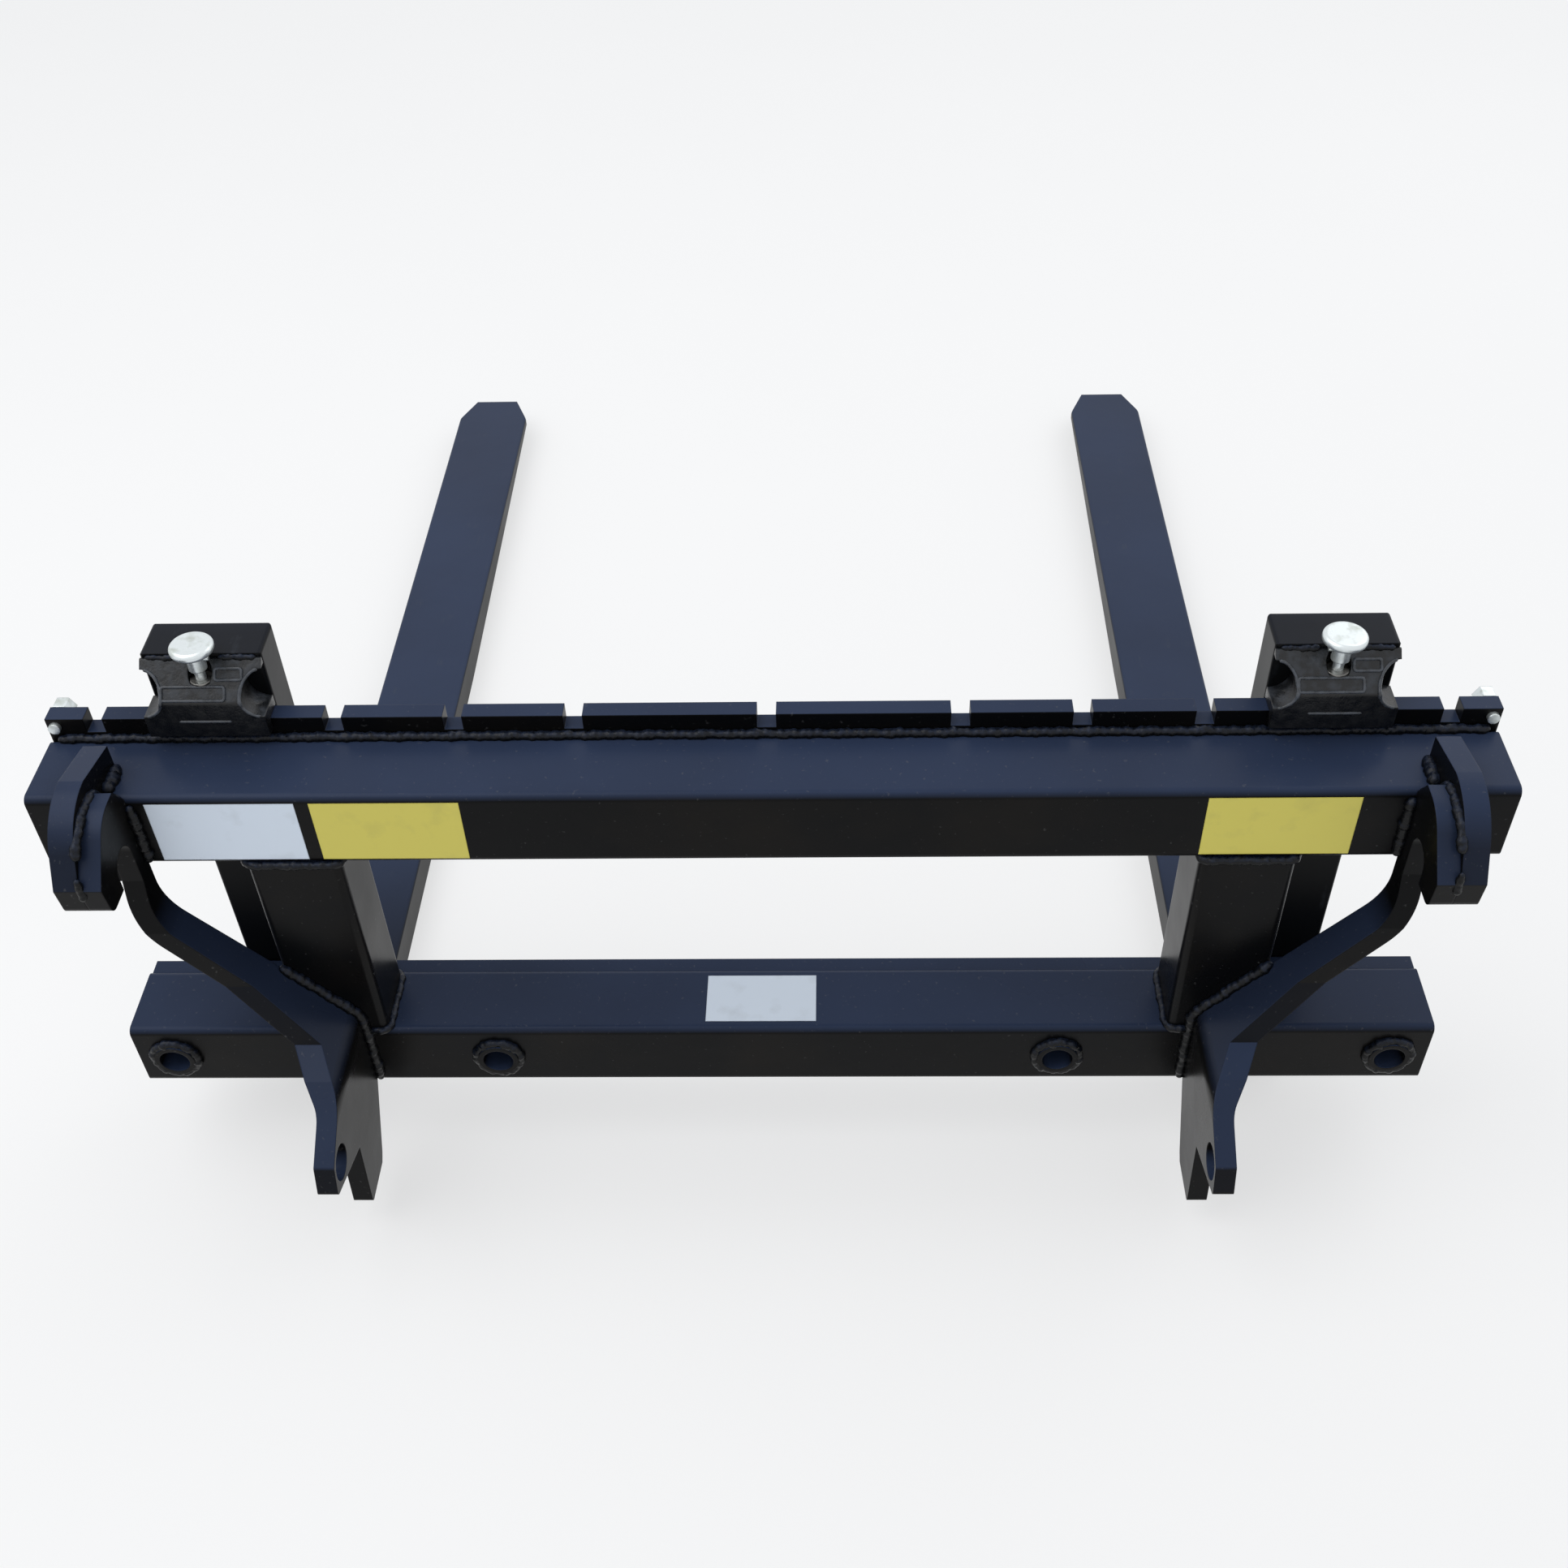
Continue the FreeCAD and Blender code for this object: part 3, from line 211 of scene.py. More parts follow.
def add_piece(name, surfaces, body, material):
    """One smooth mesh object from several surfaces, riding a body of the frame."""
    places, faces, start = [], [], 0
    for surface, blocks in surfaces:
        places.append(surface)
        for block in blocks:
            faces += (block + start).tolist()
        start += len(surface)
    mesh = bpy.data.meshes.new(name)
    mesh.from_pydata(np.concatenate(places).tolist(), [], faces)
    mesh.validate()
    mesh.polygons.foreach_set("use_smooth", np.ones(len(mesh.polygons), bool))
    mesh.update()
    piece = bpy.data.objects.new(name, mesh)
    bpy.context.scene.collection.objects.link(piece)
    mesh.materials.append(material)
    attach(piece, body)
    return piece


# ---------------------------------------------------------------- finishes

def add_node(tree, kind, settings=None, **inputs):
    """Adds a node: settings are its own properties, and each input, named with low lines
    for spaces or as n and a number, is a value or another node's output."""
    node = tree.nodes.new(kind)
    for name, value in (settings or {}).items():
        setattr(node, name, value)
    for name, value in inputs.items():
        key = int(name[1:]) if name[0] == "n" and name[1:].isdigit() else name.replace("_", " ")
        if isinstance(value, bpy.types.NodeSocket):
            tree.links.new(value, node.inputs[key])
        else:
            node.inputs[key].default_value = value
    return node


def finish_of(name, **shader):
    """A new material, as (material, its tree, its shader, object coordinates)."""
    material = bpy.data.materials.new(name)
    material.use_nodes = True
    tree = material.node_tree
    surface = tree.nodes["Principled BSDF"]
    for socket, value in shader.items():
        surface.inputs[socket.replace("_", " ")].default_value = value
    where = add_node(tree, "ShaderNodeTexCoord")
    return material, tree, surface, where


def noise_at(tree, where, grain, detail=3, stretch=(1, 1, 1)):
    """Noise whose grains are as long as grain, in metres, stretched along the axes."""
    vector = where.outputs["Object"]
    if stretch != (1, 1, 1):
        vector = add_node(tree, "ShaderNodeMapping", Vector=vector,
                          Scale=stretch).outputs["Vector"]
    return add_node(tree, "ShaderNodeTexNoise", Vector=vector, Scale=1 / grain,
                    Detail=detail).outputs["Fac"]


def between(tree, value, low, high, start=0.0, end=1.0):
    """The value mapped so that low gives start and high gives end, held outside them."""
    return add_node(tree, "ShaderNodeMapRange", Value=value, From_Min=low, From_Max=high,
                    To_Min=start, To_Max=end).outputs["Result"]


def blended(tree, share, first, second):
    """Two colours blended by a share from 0 to 1."""
    node = add_node(tree, "ShaderNodeMix", {"data_type": "RGBA"}, n0=share)
    for index, value in ((6, first), (7, second)):
        if isinstance(value, bpy.types.NodeSocket):
            tree.links.new(value, node.inputs[index])
        else:
            node.inputs[index].default_value = (*value[:3], 1)
    return node.outputs[2]


def product(tree, first, second):
    """Two values multiplied."""
    return add_node(tree, "ShaderNodeMath", {"operation": "MULTIPLY"}, n0=first,
                    n1=second).outputs[0]


def bumps(tree, surface, edge, heights):
    """Bump nodes in a row: each height is (value, depth in metres). The first one starts
    from the normal that a Bevel node rounds at the edges."""
    normal = add_node(tree, "ShaderNodeBevel", {"samples": 6}, Radius=edge).outputs["Normal"]
    for value, depth in heights:
        normal = add_node(tree, "ShaderNodeBump", Height=value, Strength=1.0,
                          Distance=depth, Normal=normal).outputs["Normal"]
    tree.links.new(normal, surface.inputs["Normal"])


def seen_rays(tree):
    """1 for rays that come straight, mirrored or refracted to the eye, 0 for light."""
    path = add_node(tree, "ShaderNodeLightPath").outputs
    mirrored = add_node(tree, "ShaderNodeMath", {"operation": "MAXIMUM"},
                        n0=path["Is Camera Ray"], n1=path["Is Glossy Ray"]).outputs[0]
    return add_node(tree, "ShaderNodeMath", {"operation": "MAXIMUM"}, n0=mirrored,
                    n1=path["Is Transmission Ray"]).outputs[0]


def facing_up(tree, where):
    """1 on level faces that look up, 0 on upright ones."""
    height = add_node(tree, "ShaderNodeSeparateXYZ",
                      Vector=where.outputs["Normal"]).outputs["Z"]
    return between(tree, height, 0.25, 0.9)


def black_enamel(sizes, colours):
    # Gloss black enamel sprayed on welded mill steel: deep black with a painted reflection
    # of the pale blue-grey sky on level faces, a painted reflection of the brown ground in
    # patches on upright ones, orange peel of about 3 mm and a slow roll of the steel under it.
    material, tree, surface, where = finish_of("gloss_black_enamel", Specular_IOR_Level=0.09,
                                               IOR=1.5)
    up = facing_up(tree, where)
    clouds = noise_at(tree, where, 0.16, 5)
    specks = noise_at(tree, where, 0.004, 4)
    # Painted sky reflection: the film share, full on upward faces and nothing on upright ones.
    film = product(tree, up, between(tree, clouds, 0.3, 0.7, 0.78, 1.0))
    tint_clouds = between(tree, noise_at(tree, where, 0.09, 6), 0.45, 0.75, 0.1, 0.8)
    # Painted reflection of the brown ground in noise patches; the painted sky reflection covers
    # it on upward faces.
    sides = blended(tree, tint_clouds, colours.enamel, colours.enamel_ground_reflection)
    paint = blended(tree, film, sides, colours.enamel_sky_reflection)
    dusty = blended(tree, between(tree, specks, 0.66, 0.74, 0.0, 0.22), paint,
                    (0.16, 0.16, 0.16))
    tree.links.new(dusty, surface.inputs["Base Color"])
    rough = between(tree, clouds, 0.3, 0.7, 0.24, 0.36)
    tree.links.new(rough, surface.inputs["Roughness"])
    bumps(tree, surface, sizes.edge_round,
          ((noise_at(tree, where, 0.003, 2), 0.00003), (noise_at(tree, where, 0.05, 2), 0.0004)))
    return material


def weld_enamel(sizes, colours):
    # The same enamel over weld metal: it pools between the ripples, with spatter grains of
    # about 1 mm, and a painted reflection of the pale sky lies on its upward faces in crusty
    # patches.
    material, tree, surface, where = finish_of("enamel_over_weld", Specular_IOR_Level=0.2,
                                               IOR=1.5)
    up = facing_up(tree, where)
    crust = noise_at(tree, where, 0.004, 4)
    # Painted sky reflection: the blue-grey on upward faces, in crusty patches.
    paint = blended(tree, product(tree, up, between(tree, crust, 0.35, 0.65, 0.1, 0.5)),
                    colours.enamel, colours.enamel_sky_reflection)
    tree.links.new(paint, surface.inputs["Base Color"])
    tree.links.new(between(tree, crust, 0.3, 0.7, 0.22, 0.42), surface.inputs["Roughness"])
    bumps(tree, surface, sizes.mark_radius,
          ((noise_at(tree, where, 0.0012, 2), 0.0001), (crust, 0.0007)))
    return material


def tine_lacquer(sizes, colours):
    # Semi-gloss black lacquer on forged, rolled bar: a softer shine than the frame, with
    # faint lengthwise roll marks, a painted reflection of the pale sky on the blade's upward
    # faces, weaker towards the rear, and rubbed patches.
    material, tree, surface, where = finish_of("lacquer_on_forged_bar",
                                               Specular_IOR_Level=0.1, IOR=1.5)
    up = facing_up(tree, where)
    clouds = noise_at(tree, where, 0.22, 5)
    rolls = noise_at(tree, where, 0.006, 3, (1, 0.06, 0.06))
    place = add_node(tree, "ShaderNodeSeparateXYZ", Vector=where.outputs["Object"])
    # Painted sky reflection on upward faces: full from Y -0.2 m on, down to 0.12 of it at -0.47
    # m.
    away = between(tree, place.outputs["Y"], -0.47, -0.2, 0.12, 1.0)
    film = product(tree, product(tree, up, away),
                   between(tree, clouds, 0.3, 0.7, 0.78, 1.0))
    paint = blended(tree, film, colours.tine_paint, colours.tine_sky_reflection)
    rubbed = product(tree, between(tree, noise_at(tree, where, 0.03, 6), 0.6, 0.72),
                     between(tree, rolls, 0.5, 0.7))
    paint = blended(tree, product(tree, rubbed, 0.35), paint, colours.worn_grey_and_sheen)
    tree.links.new(paint, surface.inputs["Base Color"])
    tree.links.new(between(tree, clouds, 0.3, 0.7, 0.3, 0.42), surface.inputs["Roughness"])
    bumps(tree, surface, sizes.edge_round,
          ((rolls, 0.00005), (noise_at(tree, where, 0.07, 3), 0.0005)))
    return material


def sand_casting(sizes, colours):
    # Black paint over a sand-cast hook: grains of about 1 mm, shallow pits, and a painted
    # grey sheen on upward faces, in patches that follow the pits.
    material, tree, surface, where = finish_of("paint_on_sand_casting",
                                               Specular_IOR_Level=0.4, IOR=1.5)
    sand = noise_at(tree, where, 0.0016, 4)
    pits = noise_at(tree, where, 0.009, 5)
    up = facing_up(tree, where)
    # Painted sheen: grey on upward faces, in patches set by the pits.
    upward_sheen = product(tree, between(tree, up, 0.1, 0.9, 0.03, 0.8),
                   between(tree, pits, 0.42, 0.68, 0.1, 0.7))
    paint = blended(tree, upward_sheen, colours.cast_paint, colours.worn_grey_and_sheen)
    tree.links.new(paint, surface.inputs["Base Color"])
    tree.links.new(between(tree, pits, 0.35, 0.65, 0.27, 0.46), surface.inputs["Roughness"])
    bumps(tree, surface, sizes.edge_round, ((sand, 0.0002), (pits, 0.0008)))
    return material


def casting_rim_highlight(sizes, colours):
    # The same casting where its rims and raised frames stand proud: their paint is greyed
    # all along, in patches, as a painted highlight, so they catch the eye as thin grey lines.
    material, tree, surface, where = finish_of("casting_rims_painted_highlight",
                                               Specular_IOR_Level=0.5, IOR=1.5)
    pits = noise_at(tree, where, 0.006, 5)
    # Painted highlight: the rims' grey, stronger in patches.
    paint = blended(tree, between(tree, pits, 0.35, 0.65, 0.35, 0.95), colours.cast_paint,
                    colours.worn_grey_and_sheen)
    tree.links.new(paint, surface.inputs["Base Color"])
    tree.links.new(between(tree, pits, 0.35, 0.65, 0.22, 0.4), surface.inputs["Roughness"])
    bumps(tree, surface, sizes.mark_radius, ((noise_at(tree, where, 0.0016, 4), 0.0001),))
    return material


def zinc_plating(sizes, colours):
    # Bright zinc plate with a clear passivation: pale, faintly blue metal with duller
    # patches and turning marks.
    material, tree, surface, where = finish_of("zinc_plating", Metallic=0.85)
    patches = noise_at(tree, where, 0.012, 5)
    marks = noise_at(tree, where, 0.0008, 2, (1, 1, 0.2))
    tint = blended(tree, between(tree, patches, 0.5, 0.72, 0.0, 0.8), colours.zinc,
                   colours.zinc_dull)
    tree.links.new(tint, surface.inputs["Base Color"])
    tree.links.new(between(tree, patches, 0.35, 0.7, 0.26, 0.44), surface.inputs["Roughness"])
    bumps(tree, surface, sizes.mark_radius, ((marks, 0.00004),))
    return material


def oiled_steel(sizes, colours):
    # Turned and wound steel under a film of oil: grey metal with fine marks.
    material, tree, surface, where = finish_of("oiled_steel", Metallic=1.0)
    patches = noise_at(tree, where, 0.008, 4)
    tint = blended(tree, between(tree, patches, 0.45, 0.75, 0.0, 0.7), colours.steel,
                   colours.cast_paint)
    tree.links.new(tint, surface.inputs["Base Color"])
    tree.links.new(between(tree, patches, 0.3, 0.7, 0.28, 0.45), surface.inputs["Roughness"])
    bumps(tree, surface, sizes.mark_radius, ((noise_at(tree, where, 0.001, 2), 0.00004),))
    return material


def label_film(name, tint, sizes, colours):
    # Printed polyester film, left blank: an even satin colour over a slight ripple of
    # trapped air, with grime that has settled in clouds.
    material, tree, surface, where = finish_of(name, Specular_IOR_Level=0.4, IOR=1.5)
    tint_clouds = between(tree, noise_at(tree, where, 0.02, 6), 0.55, 0.85, 0.0, 0.18)
    tree.links.new(blended(tree, tint_clouds, tint, colours.label_dirt),
                   surface.inputs["Base Color"])
    tree.links.new(between(tree, tint_clouds, 0.0, 0.18, 0.32, 0.5), surface.inputs["Roughness"])
    bumps(tree, surface, sizes.mark_radius, ((noise_at(tree, where, 0.018, 2), 0.00015),))
    return material


# ---------------------------------------------------------------- pieces

def settings():
    """The sizes and colours that the user set."""
    return bpy.context.scene.fork_sizes, bpy.context.scene.fork_colours


def corners_of(node):
    """A CAD node's lowest and highest corner, as arrays."""
    low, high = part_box(node)
    return np.array(low), np.array(high)


class FORK_OT_finishes(Operator):
    """Make the finishes and give one to every CAD node by its material slot"""
    bl_idname = "fork.finishes"
    bl_label = "Finishes"

    def execute(self, context):
        sizes, colours = settings()
        by_slot = {
            "frame_paint": black_enamel(sizes, colours),
            "tine_paint": tine_lacquer(sizes, colours),
            "hook_paint": sand_casting(sizes, colours),
            "zinc_plate": zinc_plating(sizes, colours),
            "bare_steel": oiled_steel(sizes, colours),
            "label_white": label_film("white_film", colours.label_white, sizes, colours),
            "label_yellow": label_film("yellow_film", colours.label_yellow, sizes, colours),
        }
        weld_enamel(sizes, colours)
        casting_rim_highlight(sizes, colours)
        for part in frame["record"]["subparts"]:
            mesh = frame["nodes"][part["node"]].data
            mesh.materials.clear()
            mesh.materials.append(by_slot[part["material_slot"]])
        return {"FINISHED"}


def weld(line, out, radius, seed, closed=False):
    """A weld ridge with the sizes that the user set."""
    sizes, _ = settings()
    return ridge(line, out, radius, sizes.bead_sides, closed, sizes.bead_pitch, 0.12, 0.16,
                 seed)


def laid(corners, window, out, radius, seed):
    """A weld ridge laid along corners that a moving average as long as window eases."""
    sizes, _ = settings()
    return weld(eased(corners, sizes.bead_step, window), out, radius, seed)


def outward_of(line, centre, axis, lift):
    """Directions from a centre to the stations round it: each has length 1, and then its
    part along one axis is set to lift."""
    outward = line - np.asarray(centre)
    outward /= np.linalg.norm(outward, axis=1, keepdims=True)
    outward[:, axis] = lift
    return outward


def add_frame_weld(name, beads):
    """Beads on the frame as one piece, coated like the frame."""
    add_piece(name, beads, "frame", bpy.data.materials["enamel_over_weld"])


class FORK_OT_bar_welds(Operator):
    """Long beads that join both carriage bars to the beams, above and below"""
    bl_idname = "fork.bar_welds"
    bl_label = "Carriage bar welds"

    def execute(self, context):
        sizes, _ = settings()
        inset = sizes.bead_radius * 1.4
        beads = []
        # Each bar's rear plane meets the beam's rounded corner, and a bead fills the
        # groove. The lower bar's top groove is ground flush, so it has none.
        for level, above, seed in (("upper", False, 10), ("upper", True, 11),
                                   ("lower", False, 13)):
            low, high = corners_of(level + "_beam")
            groove = corners_of(level + "_carriage_bar")[0][1] - 0.0026
            height = high[2] + 0.0015 if above else low[2] + 0.0035
            ends = [(low[0] + inset, groove, height), (high[0] - inset, groove, height)]
            beads.append(laid(ends, SHORT_EASE, (0, -0.6, 1 if above else -1),
                              sizes.bead_radius, seed))
        add_frame_weld("weld_carriage_bars", beads)
        return {"FINISHED"}


class FORK_OT_post_welds(Operator):
    """Rings of weld round the top and foot of each post"""
    bl_idname = "fork.post_welds"
    bl_label = "Post welds"

    def execute(self, context):
        sizes, _ = settings()
        lift, gap, corner = 0.0012, 0.002, 0.010
        beads = []
        for side, _ in SIDES:
            low, high = corners_of(side + "_post")
            centre = (low + high) / 2
            for height, slope in ((low[2], 1), (high[2], -1)):
                place = (centre[0], centre[1], height + slope * lift)
                line = rounded_loop(place, (1, 0, 0), (0, 1, 0), high[0] - low[0] + gap,
                                    high[1] - low[1] + gap, corner, sizes.bead_step)
                beads.append(weld(line, outward_of(line, place, 2, slope),
                                  sizes.bead_radius * 0.85, 20 + len(beads), True))
        add_frame_weld("weld_posts", beads)
        return {"FINISHED"}


class FORK_OT_hitch_welds(Operator):
    """Beads down both faces of each bent hitch plate, where it lies on beams and post"""
    bl_idname = "fork.hitch_welds"
    bl_label = "Hitch plate welds"

    def execute(self, context):
        sizes, _ = settings()
        rear = corners_of("lower_beam")[0][1]
        # Corners (x, z) of the beads on the right-hand plate: down the inner face, down
        # the outer face, and beside the hook on the upper beam.
        inner = [(0.4385, 0.259), (0.381, 0.1935), (0.3785, 0.182), (0.3785, 0.098)]
        outer = [(0.437, 0.2275), (0.3985, 0.184), (0.3975, 0.176), (0.3975, 0.098)]
        top = [(0.5165, 0.456), (0.5165, 0.392)]
        proud_side, proud_rear = 0.0016, 0.0018
        for side, sign in SIDES:
            beads = []
            for number, (run, lean, share) in enumerate(((inner, -1, 1.15), (outer, 1, 1.0),
                                                         (top, -1, 1.15))):
                corners = [(sign * (x + lean * proud_side), rear - proud_rear, z)
                           for x, z in run]
                beads.append(laid(corners, 0.012, (sign * lean, -0.8, 0.3),
                                  sizes.bead_radius * share,
                                  30 + number + (5 if sign > 0 else 0)))
            add_frame_weld("weld_hitch_plate_" + side, beads)
        return {"FINISHED"}


class FORK_OT_hook_welds(Operator):
    """Heavy lumps at the foot of each outer hook plate and between the two hook layers"""
    bl_idname = "fork.hook_welds"
    bl_label = "Hook plate welds"

    def execute(self, context):
        sizes, _ = settings()
        beam_low, beam_high = corners_of("upper_beam")
        rear, top = beam_low[1], beam_high[2]
        plate = 0.018
        for side, sign in SIDES:
            low, high = corners_of("outer_hook_plate_" + side)
            inner, outer = (high[0], low[0]) if sign < 0 else (low[0], high[0])
            back, front = low[1], high[1]
            peak = corners_of("hitch_plate_" + side)[1][2]
            foot_x, seam_x = inner - sign * 0.0015, inner - sign * 0.001
            rows = (
                # Round the foot of the outer plate: its inner side, front and outer side.
                ([(foot_x, rear + 0.004, top + 0.0012), (foot_x, front + 0.002, top + 0.0012)],
                 SHORT_EASE, (-sign, 0, 1.2), sizes.heavy_radius),
                ([(inner + sign * 0.001, front + 0.0012, top + 0.001),
                  (outer - sign * 0.001, front + 0.0012, top + 0.001)],
                 SHORT_EASE, (0, 1, 1.2), sizes.bead_radius),
                ([(outer + sign * 0.001, front + 0.001, top + 0.001),
                  (outer + sign * 0.001, rear + 0.008, top + 0.001)],
                 SHORT_EASE, (sign, 0, 1.2), sizes.bead_radius),
                # Across the hitch plate's rounded top and down the corner behind it.
                ([(seam_x, rear - 0.003, top + 0.005), (seam_x, rear - 0.014, peak - 0.0005),
                  (seam_x, rear - 0.040, peak - 0.0005), (seam_x, rear - 0.058, peak - 0.008),
                  (seam_x, rear - 0.070, peak - 0.021)],
                 0.014, (-sign, -0.6, 1), sizes.bead_radius),
                # A short tack on the hooks' rear edges.
                ([(seam_x, back + 0.0016, 0.452), (seam_x, back + 0.0016, 0.428)],
                 SHORT_EASE, (0, -1, 0), sizes.bead_radius * 0.75),
                # Where the hitch plate's top turns over the beam's rear corner.
                ([(inner - sign * 0.002, rear + 0.001, top - 0.002),
                  (inner - sign * (plate - 0.002), rear + 0.001, top - 0.002)],
                 SHORT_EASE, (0, 0.5, 1), sizes.heavy_radius))
            beads = [laid(corners, window, out, radius, 41 + number)
                     for number, (corners, window, out, radius) in enumerate(rows)]
            add_frame_weld("weld_hook_plate_" + side, beads)
        return {"FINISHED"}


class FORK_OT_sleeve_welds(Operator):
    """A lumpy ring round the rear end of every spike sleeve"""
    bl_idname = "fork.sleeve_welds"
    bl_label = "Spike sleeve welds"

    def execute(self, context):
        sizes, _ = settings()
        rear = corners_of("lower_beam")[0][1]
        lift, wide = 0.0012, 0.0405
        beads = []
        for place in ("outer_left", "inner_left", "inner_right", "outer_right"):
            low, high = corners_of("spike_sleeve_" + place)
            centre = (low + high) / 2
            centre[1] = rear - lift
            # A loop whose corners leave no straight is a circle.
            line = rounded_loop(centre, (1, 0, 0), (0, 0, 1), wide, wide, wide / 2 - 1e-5,
                                sizes.bead_step)
            beads.append(weld(line, outward_of(line, centre, 1, -1), sizes.bead_radius,
                              50 + len(beads), True))
        add_frame_weld("weld_spike_sleeves", beads)
        return {"FINISHED"}


class FORK_OT_cap_welds(Operator):
    """Dressed beads round the closing plates in the beam ends"""
    bl_idname = "fork.cap_welds"
    bl_label = "End cap welds"

    def execute(self, context):
        sizes, _ = settings()
        sunk, corner = 0.0016, 0.004
        beads = []
        for level in ("upper", "lower"):
            for side, sign in SIDES:
                low, high = corners_of("%s_cap_%s" % (level, side))
                centre = (low + high) / 2
                centre[0] = (low if sign < 0 else high)[0] - sign * sunk
                line = rounded_loop(centre, (0, 1, 0), (0, 0, 1), high[1] - low[1],
                                    high[2] - low[2], corner, sizes.bead_step)
                beads.append(ridge(line, (sign, 0, 0), sizes.cap_radius, 10, True,
                                   sizes.bead_pitch, 0.1, 0.1, 60 + len(beads)))
        add_frame_weld("weld_end_caps", beads)
        return {"FINISHED"}


class FORK_OT_cast_details(Operator):
    """Rims, blank raised frames and the weld along the shank of both upper hooks"""
    bl_idname = "fork.cast_details"
    bl_label = "Casting details"

    def execute(self, context):
        sizes, _ = settings()
        # The rims and frames carry the painted highlight.
        paint = bpy.data.materials["casting_rims_painted_highlight"]
        # The block's rear face is upright to the shoulder and then slopes at 45 degrees
        # over a chamfer; the waist is the radius of the cutout in each side.
        chamfer, waist, side_gap, end_angle = 0.026, 0.017, 0.0008, 0.12
        slope = np.array((0, 1, 1)) / math.sqrt(2)
        for side, _ in SIDES:
            low, high = corners_of("upper_hook_" + side)
            middle = (low[0] + high[0]) / 2
            rear, crown = low[1], high[2]
            shoulder = crown - chamfer
            half = (high[0] - low[0]) / 2
            height = shoulder + 0.003

            def on_rear(z):
                return rear + np.clip(z - shoulder, 0, chamfer)

            marks = []
            for turn in (-1, 1):
                a = np.linspace(-math.pi / 2 + end_angle, math.pi / 2 - end_angle,
                                int(math.pi * waist / sizes.bead_step))
                z = height + waist * np.sin(a)
                x = middle + turn * (half - waist * np.cos(a) - side_gap)
                line = np.stack((x, on_rear(z), z), axis=1)
                marks.append(ridge(line, (0, -1, 0.5), sizes.rim_radius, 10, lump=0.2,
                                   seed=70))
            # Two empty frames on the slope: (to the right, up the slope, width, height).
            for x, up, wide, tall in ((-0.006, 0.008, 0.052, 0.0115),
                                      (0.023, 0.024, 0.022, 0.0095)):
                z = shoulder + up / math.sqrt(2)
                place = (middle + x, on_rear(z) - 0.0003, z + 0.0003)
                line = rounded_loop(place, (1, 0, 0), slope, wide, tall, 0.002,
                                    sizes.bead_step / 2)
                marks.append(ridge(line, (0, -1, 1), sizes.mark_radius, 8, True))
            # One level line below the shoulder.
            z, reach = shoulder - 0.019, 0.022
            line = eased([(middle - reach, rear, z), (middle + reach, rear, z)],
                         sizes.bead_step, 0.002)
            marks.append(ridge(line, (0, -1, 0.3), sizes.mark_radius, 8))
            add_piece("cast_marks_" + side, marks, side + "_fork", paint)
            # A bead on either side of the latch, where the block's top meets the shank.
            beads = []
            shank = corners_of("fork_" + side)[0][1]
            for turn in (-1, 1):
                line = eased([(middle + turn * x, shank - 0.0004, crown + 0.0002)
                              for x in (0.014, half - 0.004)], sizes.bead_step, 0.002)
                beads.append(ridge(line, (0, -1, 0.6), sizes.shank_radius, 12, False,
                                   sizes.bead_pitch * 0.7, 0.16, 0.25, 80 + turn))
            add_piece("weld_upper_hook_" + side, beads, side + "_fork",
                      bpy.data.materials["enamel_over_weld"])
        return {"FINISHED"}


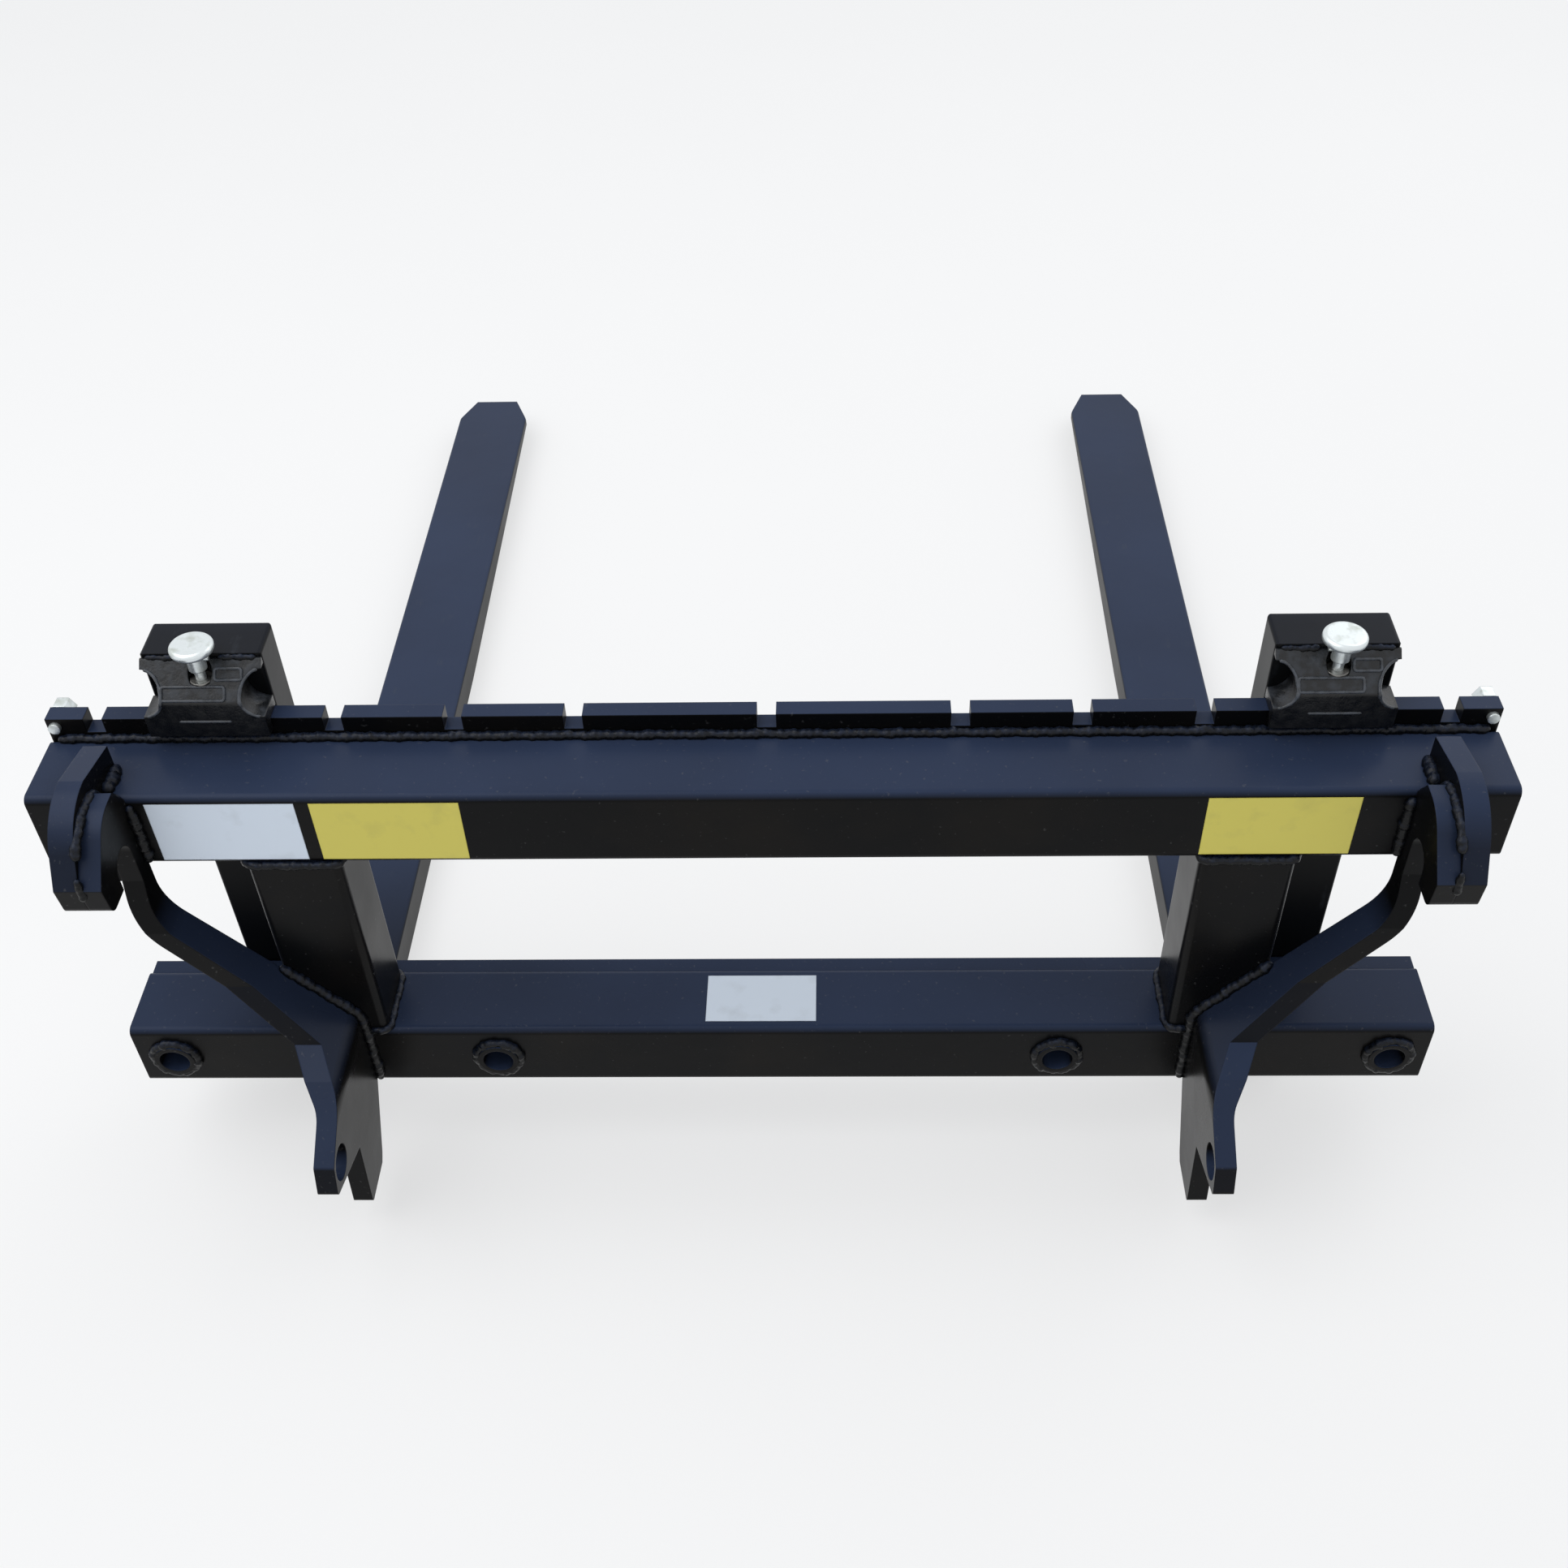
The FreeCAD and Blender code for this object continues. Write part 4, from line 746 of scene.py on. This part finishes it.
class FORK_OT_stage(Operator):
    """Pale floor, soft lamps, pale surroundings and the camera"""
    bl_idname = "fork.stage"
    bl_label = "Studio"

    def execute(self, context):
        _, colours = settings()
        scene = context.scene
        # Place(u, v) = (u, v, level) on a flat grid of rows by rows places.
        reach, rows, level = 20, 5, -0.0004
        span = np.linspace(-reach, reach, rows)
        u, v = np.meshgrid(span, span, indexing="ij")
        places = np.stack((u, v, np.full_like(u, level)), axis=-1).reshape(-1, 3)
        i, j = (grid.ravel() for grid in np.indices((rows - 1, rows - 1)))
        first = i * rows + j
        quads = np.stack((first, first + rows, first + rows + 1, first + 1), axis=1)
        mesh = bpy.data.meshes.new("studio_floor")
        mesh.from_pydata(places.tolist(), [], quads.tolist())
        floor = bpy.data.objects.new("studio_floor", mesh)
        scene.collection.objects.link(floor)
        # Matt painted board with a very slight mottle.
        material, tree, surface, where = finish_of("matt_floor_board",
                                                   Specular_IOR_Level=0.1)
        mottle = between(tree, noise_at(tree, where, 0.5, 3), 0.3, 0.7)
        pale = tuple(colours.floor)
        tree.links.new(blended(tree, mottle, pale, tuple(c * 0.985 for c in pale)),
                       surface.inputs["Base Color"])
        surface.inputs["Roughness"].default_value = 0.9
        # Straight, mirrored and refracted views see the board lit to near white from
        # within, and keep two fifths of its shading, so the shadow stays.
        glow = add_node(tree, "ShaderNodeEmission", Color=(1, 1, 1, 1), Strength=1.0)
        seen = product(tree, seen_rays(tree), 0.6)
        lit = add_node(tree, "ShaderNodeMixShader", n0=seen, n1=surface.outputs[0],
                       n2=glow.outputs[0])
        tree.links.new(lit.outputs[0], tree.nodes["Material Output"].inputs["Surface"])
        mesh.materials.append(material)

        world = bpy.data.worlds.new("studio_air")
        world.use_nodes = True
        scene.world = world
        tree = world.node_tree
        air = tree.nodes["Background"]
        air.inputs["Color"].default_value = (0.93, 0.96, 1.0, 1)
        air.inputs["Strength"].default_value = 0.68
        bright = add_node(tree, "ShaderNodeBackground", Color=(1, 1, 1, 1), Strength=1.0)
        share = add_node(tree, "ShaderNodeMixShader", n0=seen_rays(tree),
                         n1=air.outputs[0], n2=bright.outputs[0])
        tree.links.new(share.outputs[0], tree.nodes["World Output"].inputs["Surface"])
        for name, place, power, wide in (("soft_key", (-1.6, -0.6, 3.0), 34, 2.4),
                                         ("soft_fill", (2.2, 1.2, 2.6), 16, 2.4)):
            lamp = bpy.data.lights.new(name, "AREA")
            lamp.shape, lamp.size, lamp.energy = "SQUARE", wide, power
            stand = bpy.data.objects.new(name, lamp)
            scene.collection.objects.link(stand)
            stand.location = place
            stand.rotation_euler = (Vector((0, 0, 0.2)) - Vector(place)).to_track_quat(
                "-Z", "Y").to_euler()

        yaw, pitch, roll = -0.036, -0.768, -0.031
        ahead = Vector((math.sin(yaw) * math.cos(pitch), math.cos(yaw) * math.cos(pitch),
                        math.sin(pitch)))
        right = Vector((math.cos(yaw), -math.sin(yaw), 0))
        above = right.cross(ahead)
        across = math.cos(roll) * right + math.sin(roll) * above
        up = -math.sin(roll) * right + math.cos(roll) * above
        lens = bpy.data.cameras.new("view")
        lens.sensor_width, lens.lens = 36.0, 39.63
        lens.shift_x, lens.shift_y = -0.00727, 0.02249
        lens.clip_start, lens.clip_end = 0.05, 60
        camera = bpy.data.objects.new("view", lens)
        scene.collection.objects.link(camera)
        turn = Matrix((across, up, -ahead)).transposed().to_4x4()
        camera.matrix_world = Matrix.Translation((0.0603, -1.5918, 1.4054)) @ turn
        scene.camera = camera
        scene.view_settings.view_transform = "Standard"
        return {"FINISHED"}


class FORK_PT_looks(Panel):
    """Sizes, colours and steps of the fork attachment's looks"""
    bl_label = "Pallet forks"
    bl_idname = "FORK_PT_looks"
    bl_space_type = "VIEW_3D"
    bl_region_type = "UI"
    bl_category = "Forks"

    def draw(self, context):
        for heading, group in (("Sizes", context.scene.fork_sizes),
                               ("Colours", context.scene.fork_colours)):
            box = self.layout.box()
            box.label(text=heading)
            for name in group.__annotations__:
                box.prop(group, name)
        for step in STEPS:
            self.layout.operator(step.bl_idname)


STEPS = (FORK_OT_finishes, FORK_OT_bar_welds, FORK_OT_post_welds, FORK_OT_hitch_welds,
         FORK_OT_hook_welds, FORK_OT_sleeve_welds, FORK_OT_cap_welds, FORK_OT_cast_details,
         FORK_OT_stage)
CLASSES = (ForkSizes, ForkColours, *STEPS, FORK_PT_looks)


def register():
    """Makes the classes and the scene's settings known to Blender."""
    for cls in CLASSES:
        bpy.utils.register_class(cls)
    bpy.types.Scene.fork_sizes = PointerProperty(type=ForkSizes)
    bpy.types.Scene.fork_colours = PointerProperty(type=ForkColours)


def unregister():
    """Takes away what register added."""
    del bpy.types.Scene.fork_colours
    del bpy.types.Scene.fork_sizes
    for cls in reversed(CLASSES):
        bpy.utils.unregister_class(cls)


def main():
    """Runs every step in order."""
    register()
    for step in STEPS:
        group, name = step.bl_idname.split(".")
        getattr(getattr(bpy.ops, group), name)()
    bpy.context.view_layer.update()


if __name__ == "__main__":
    main()
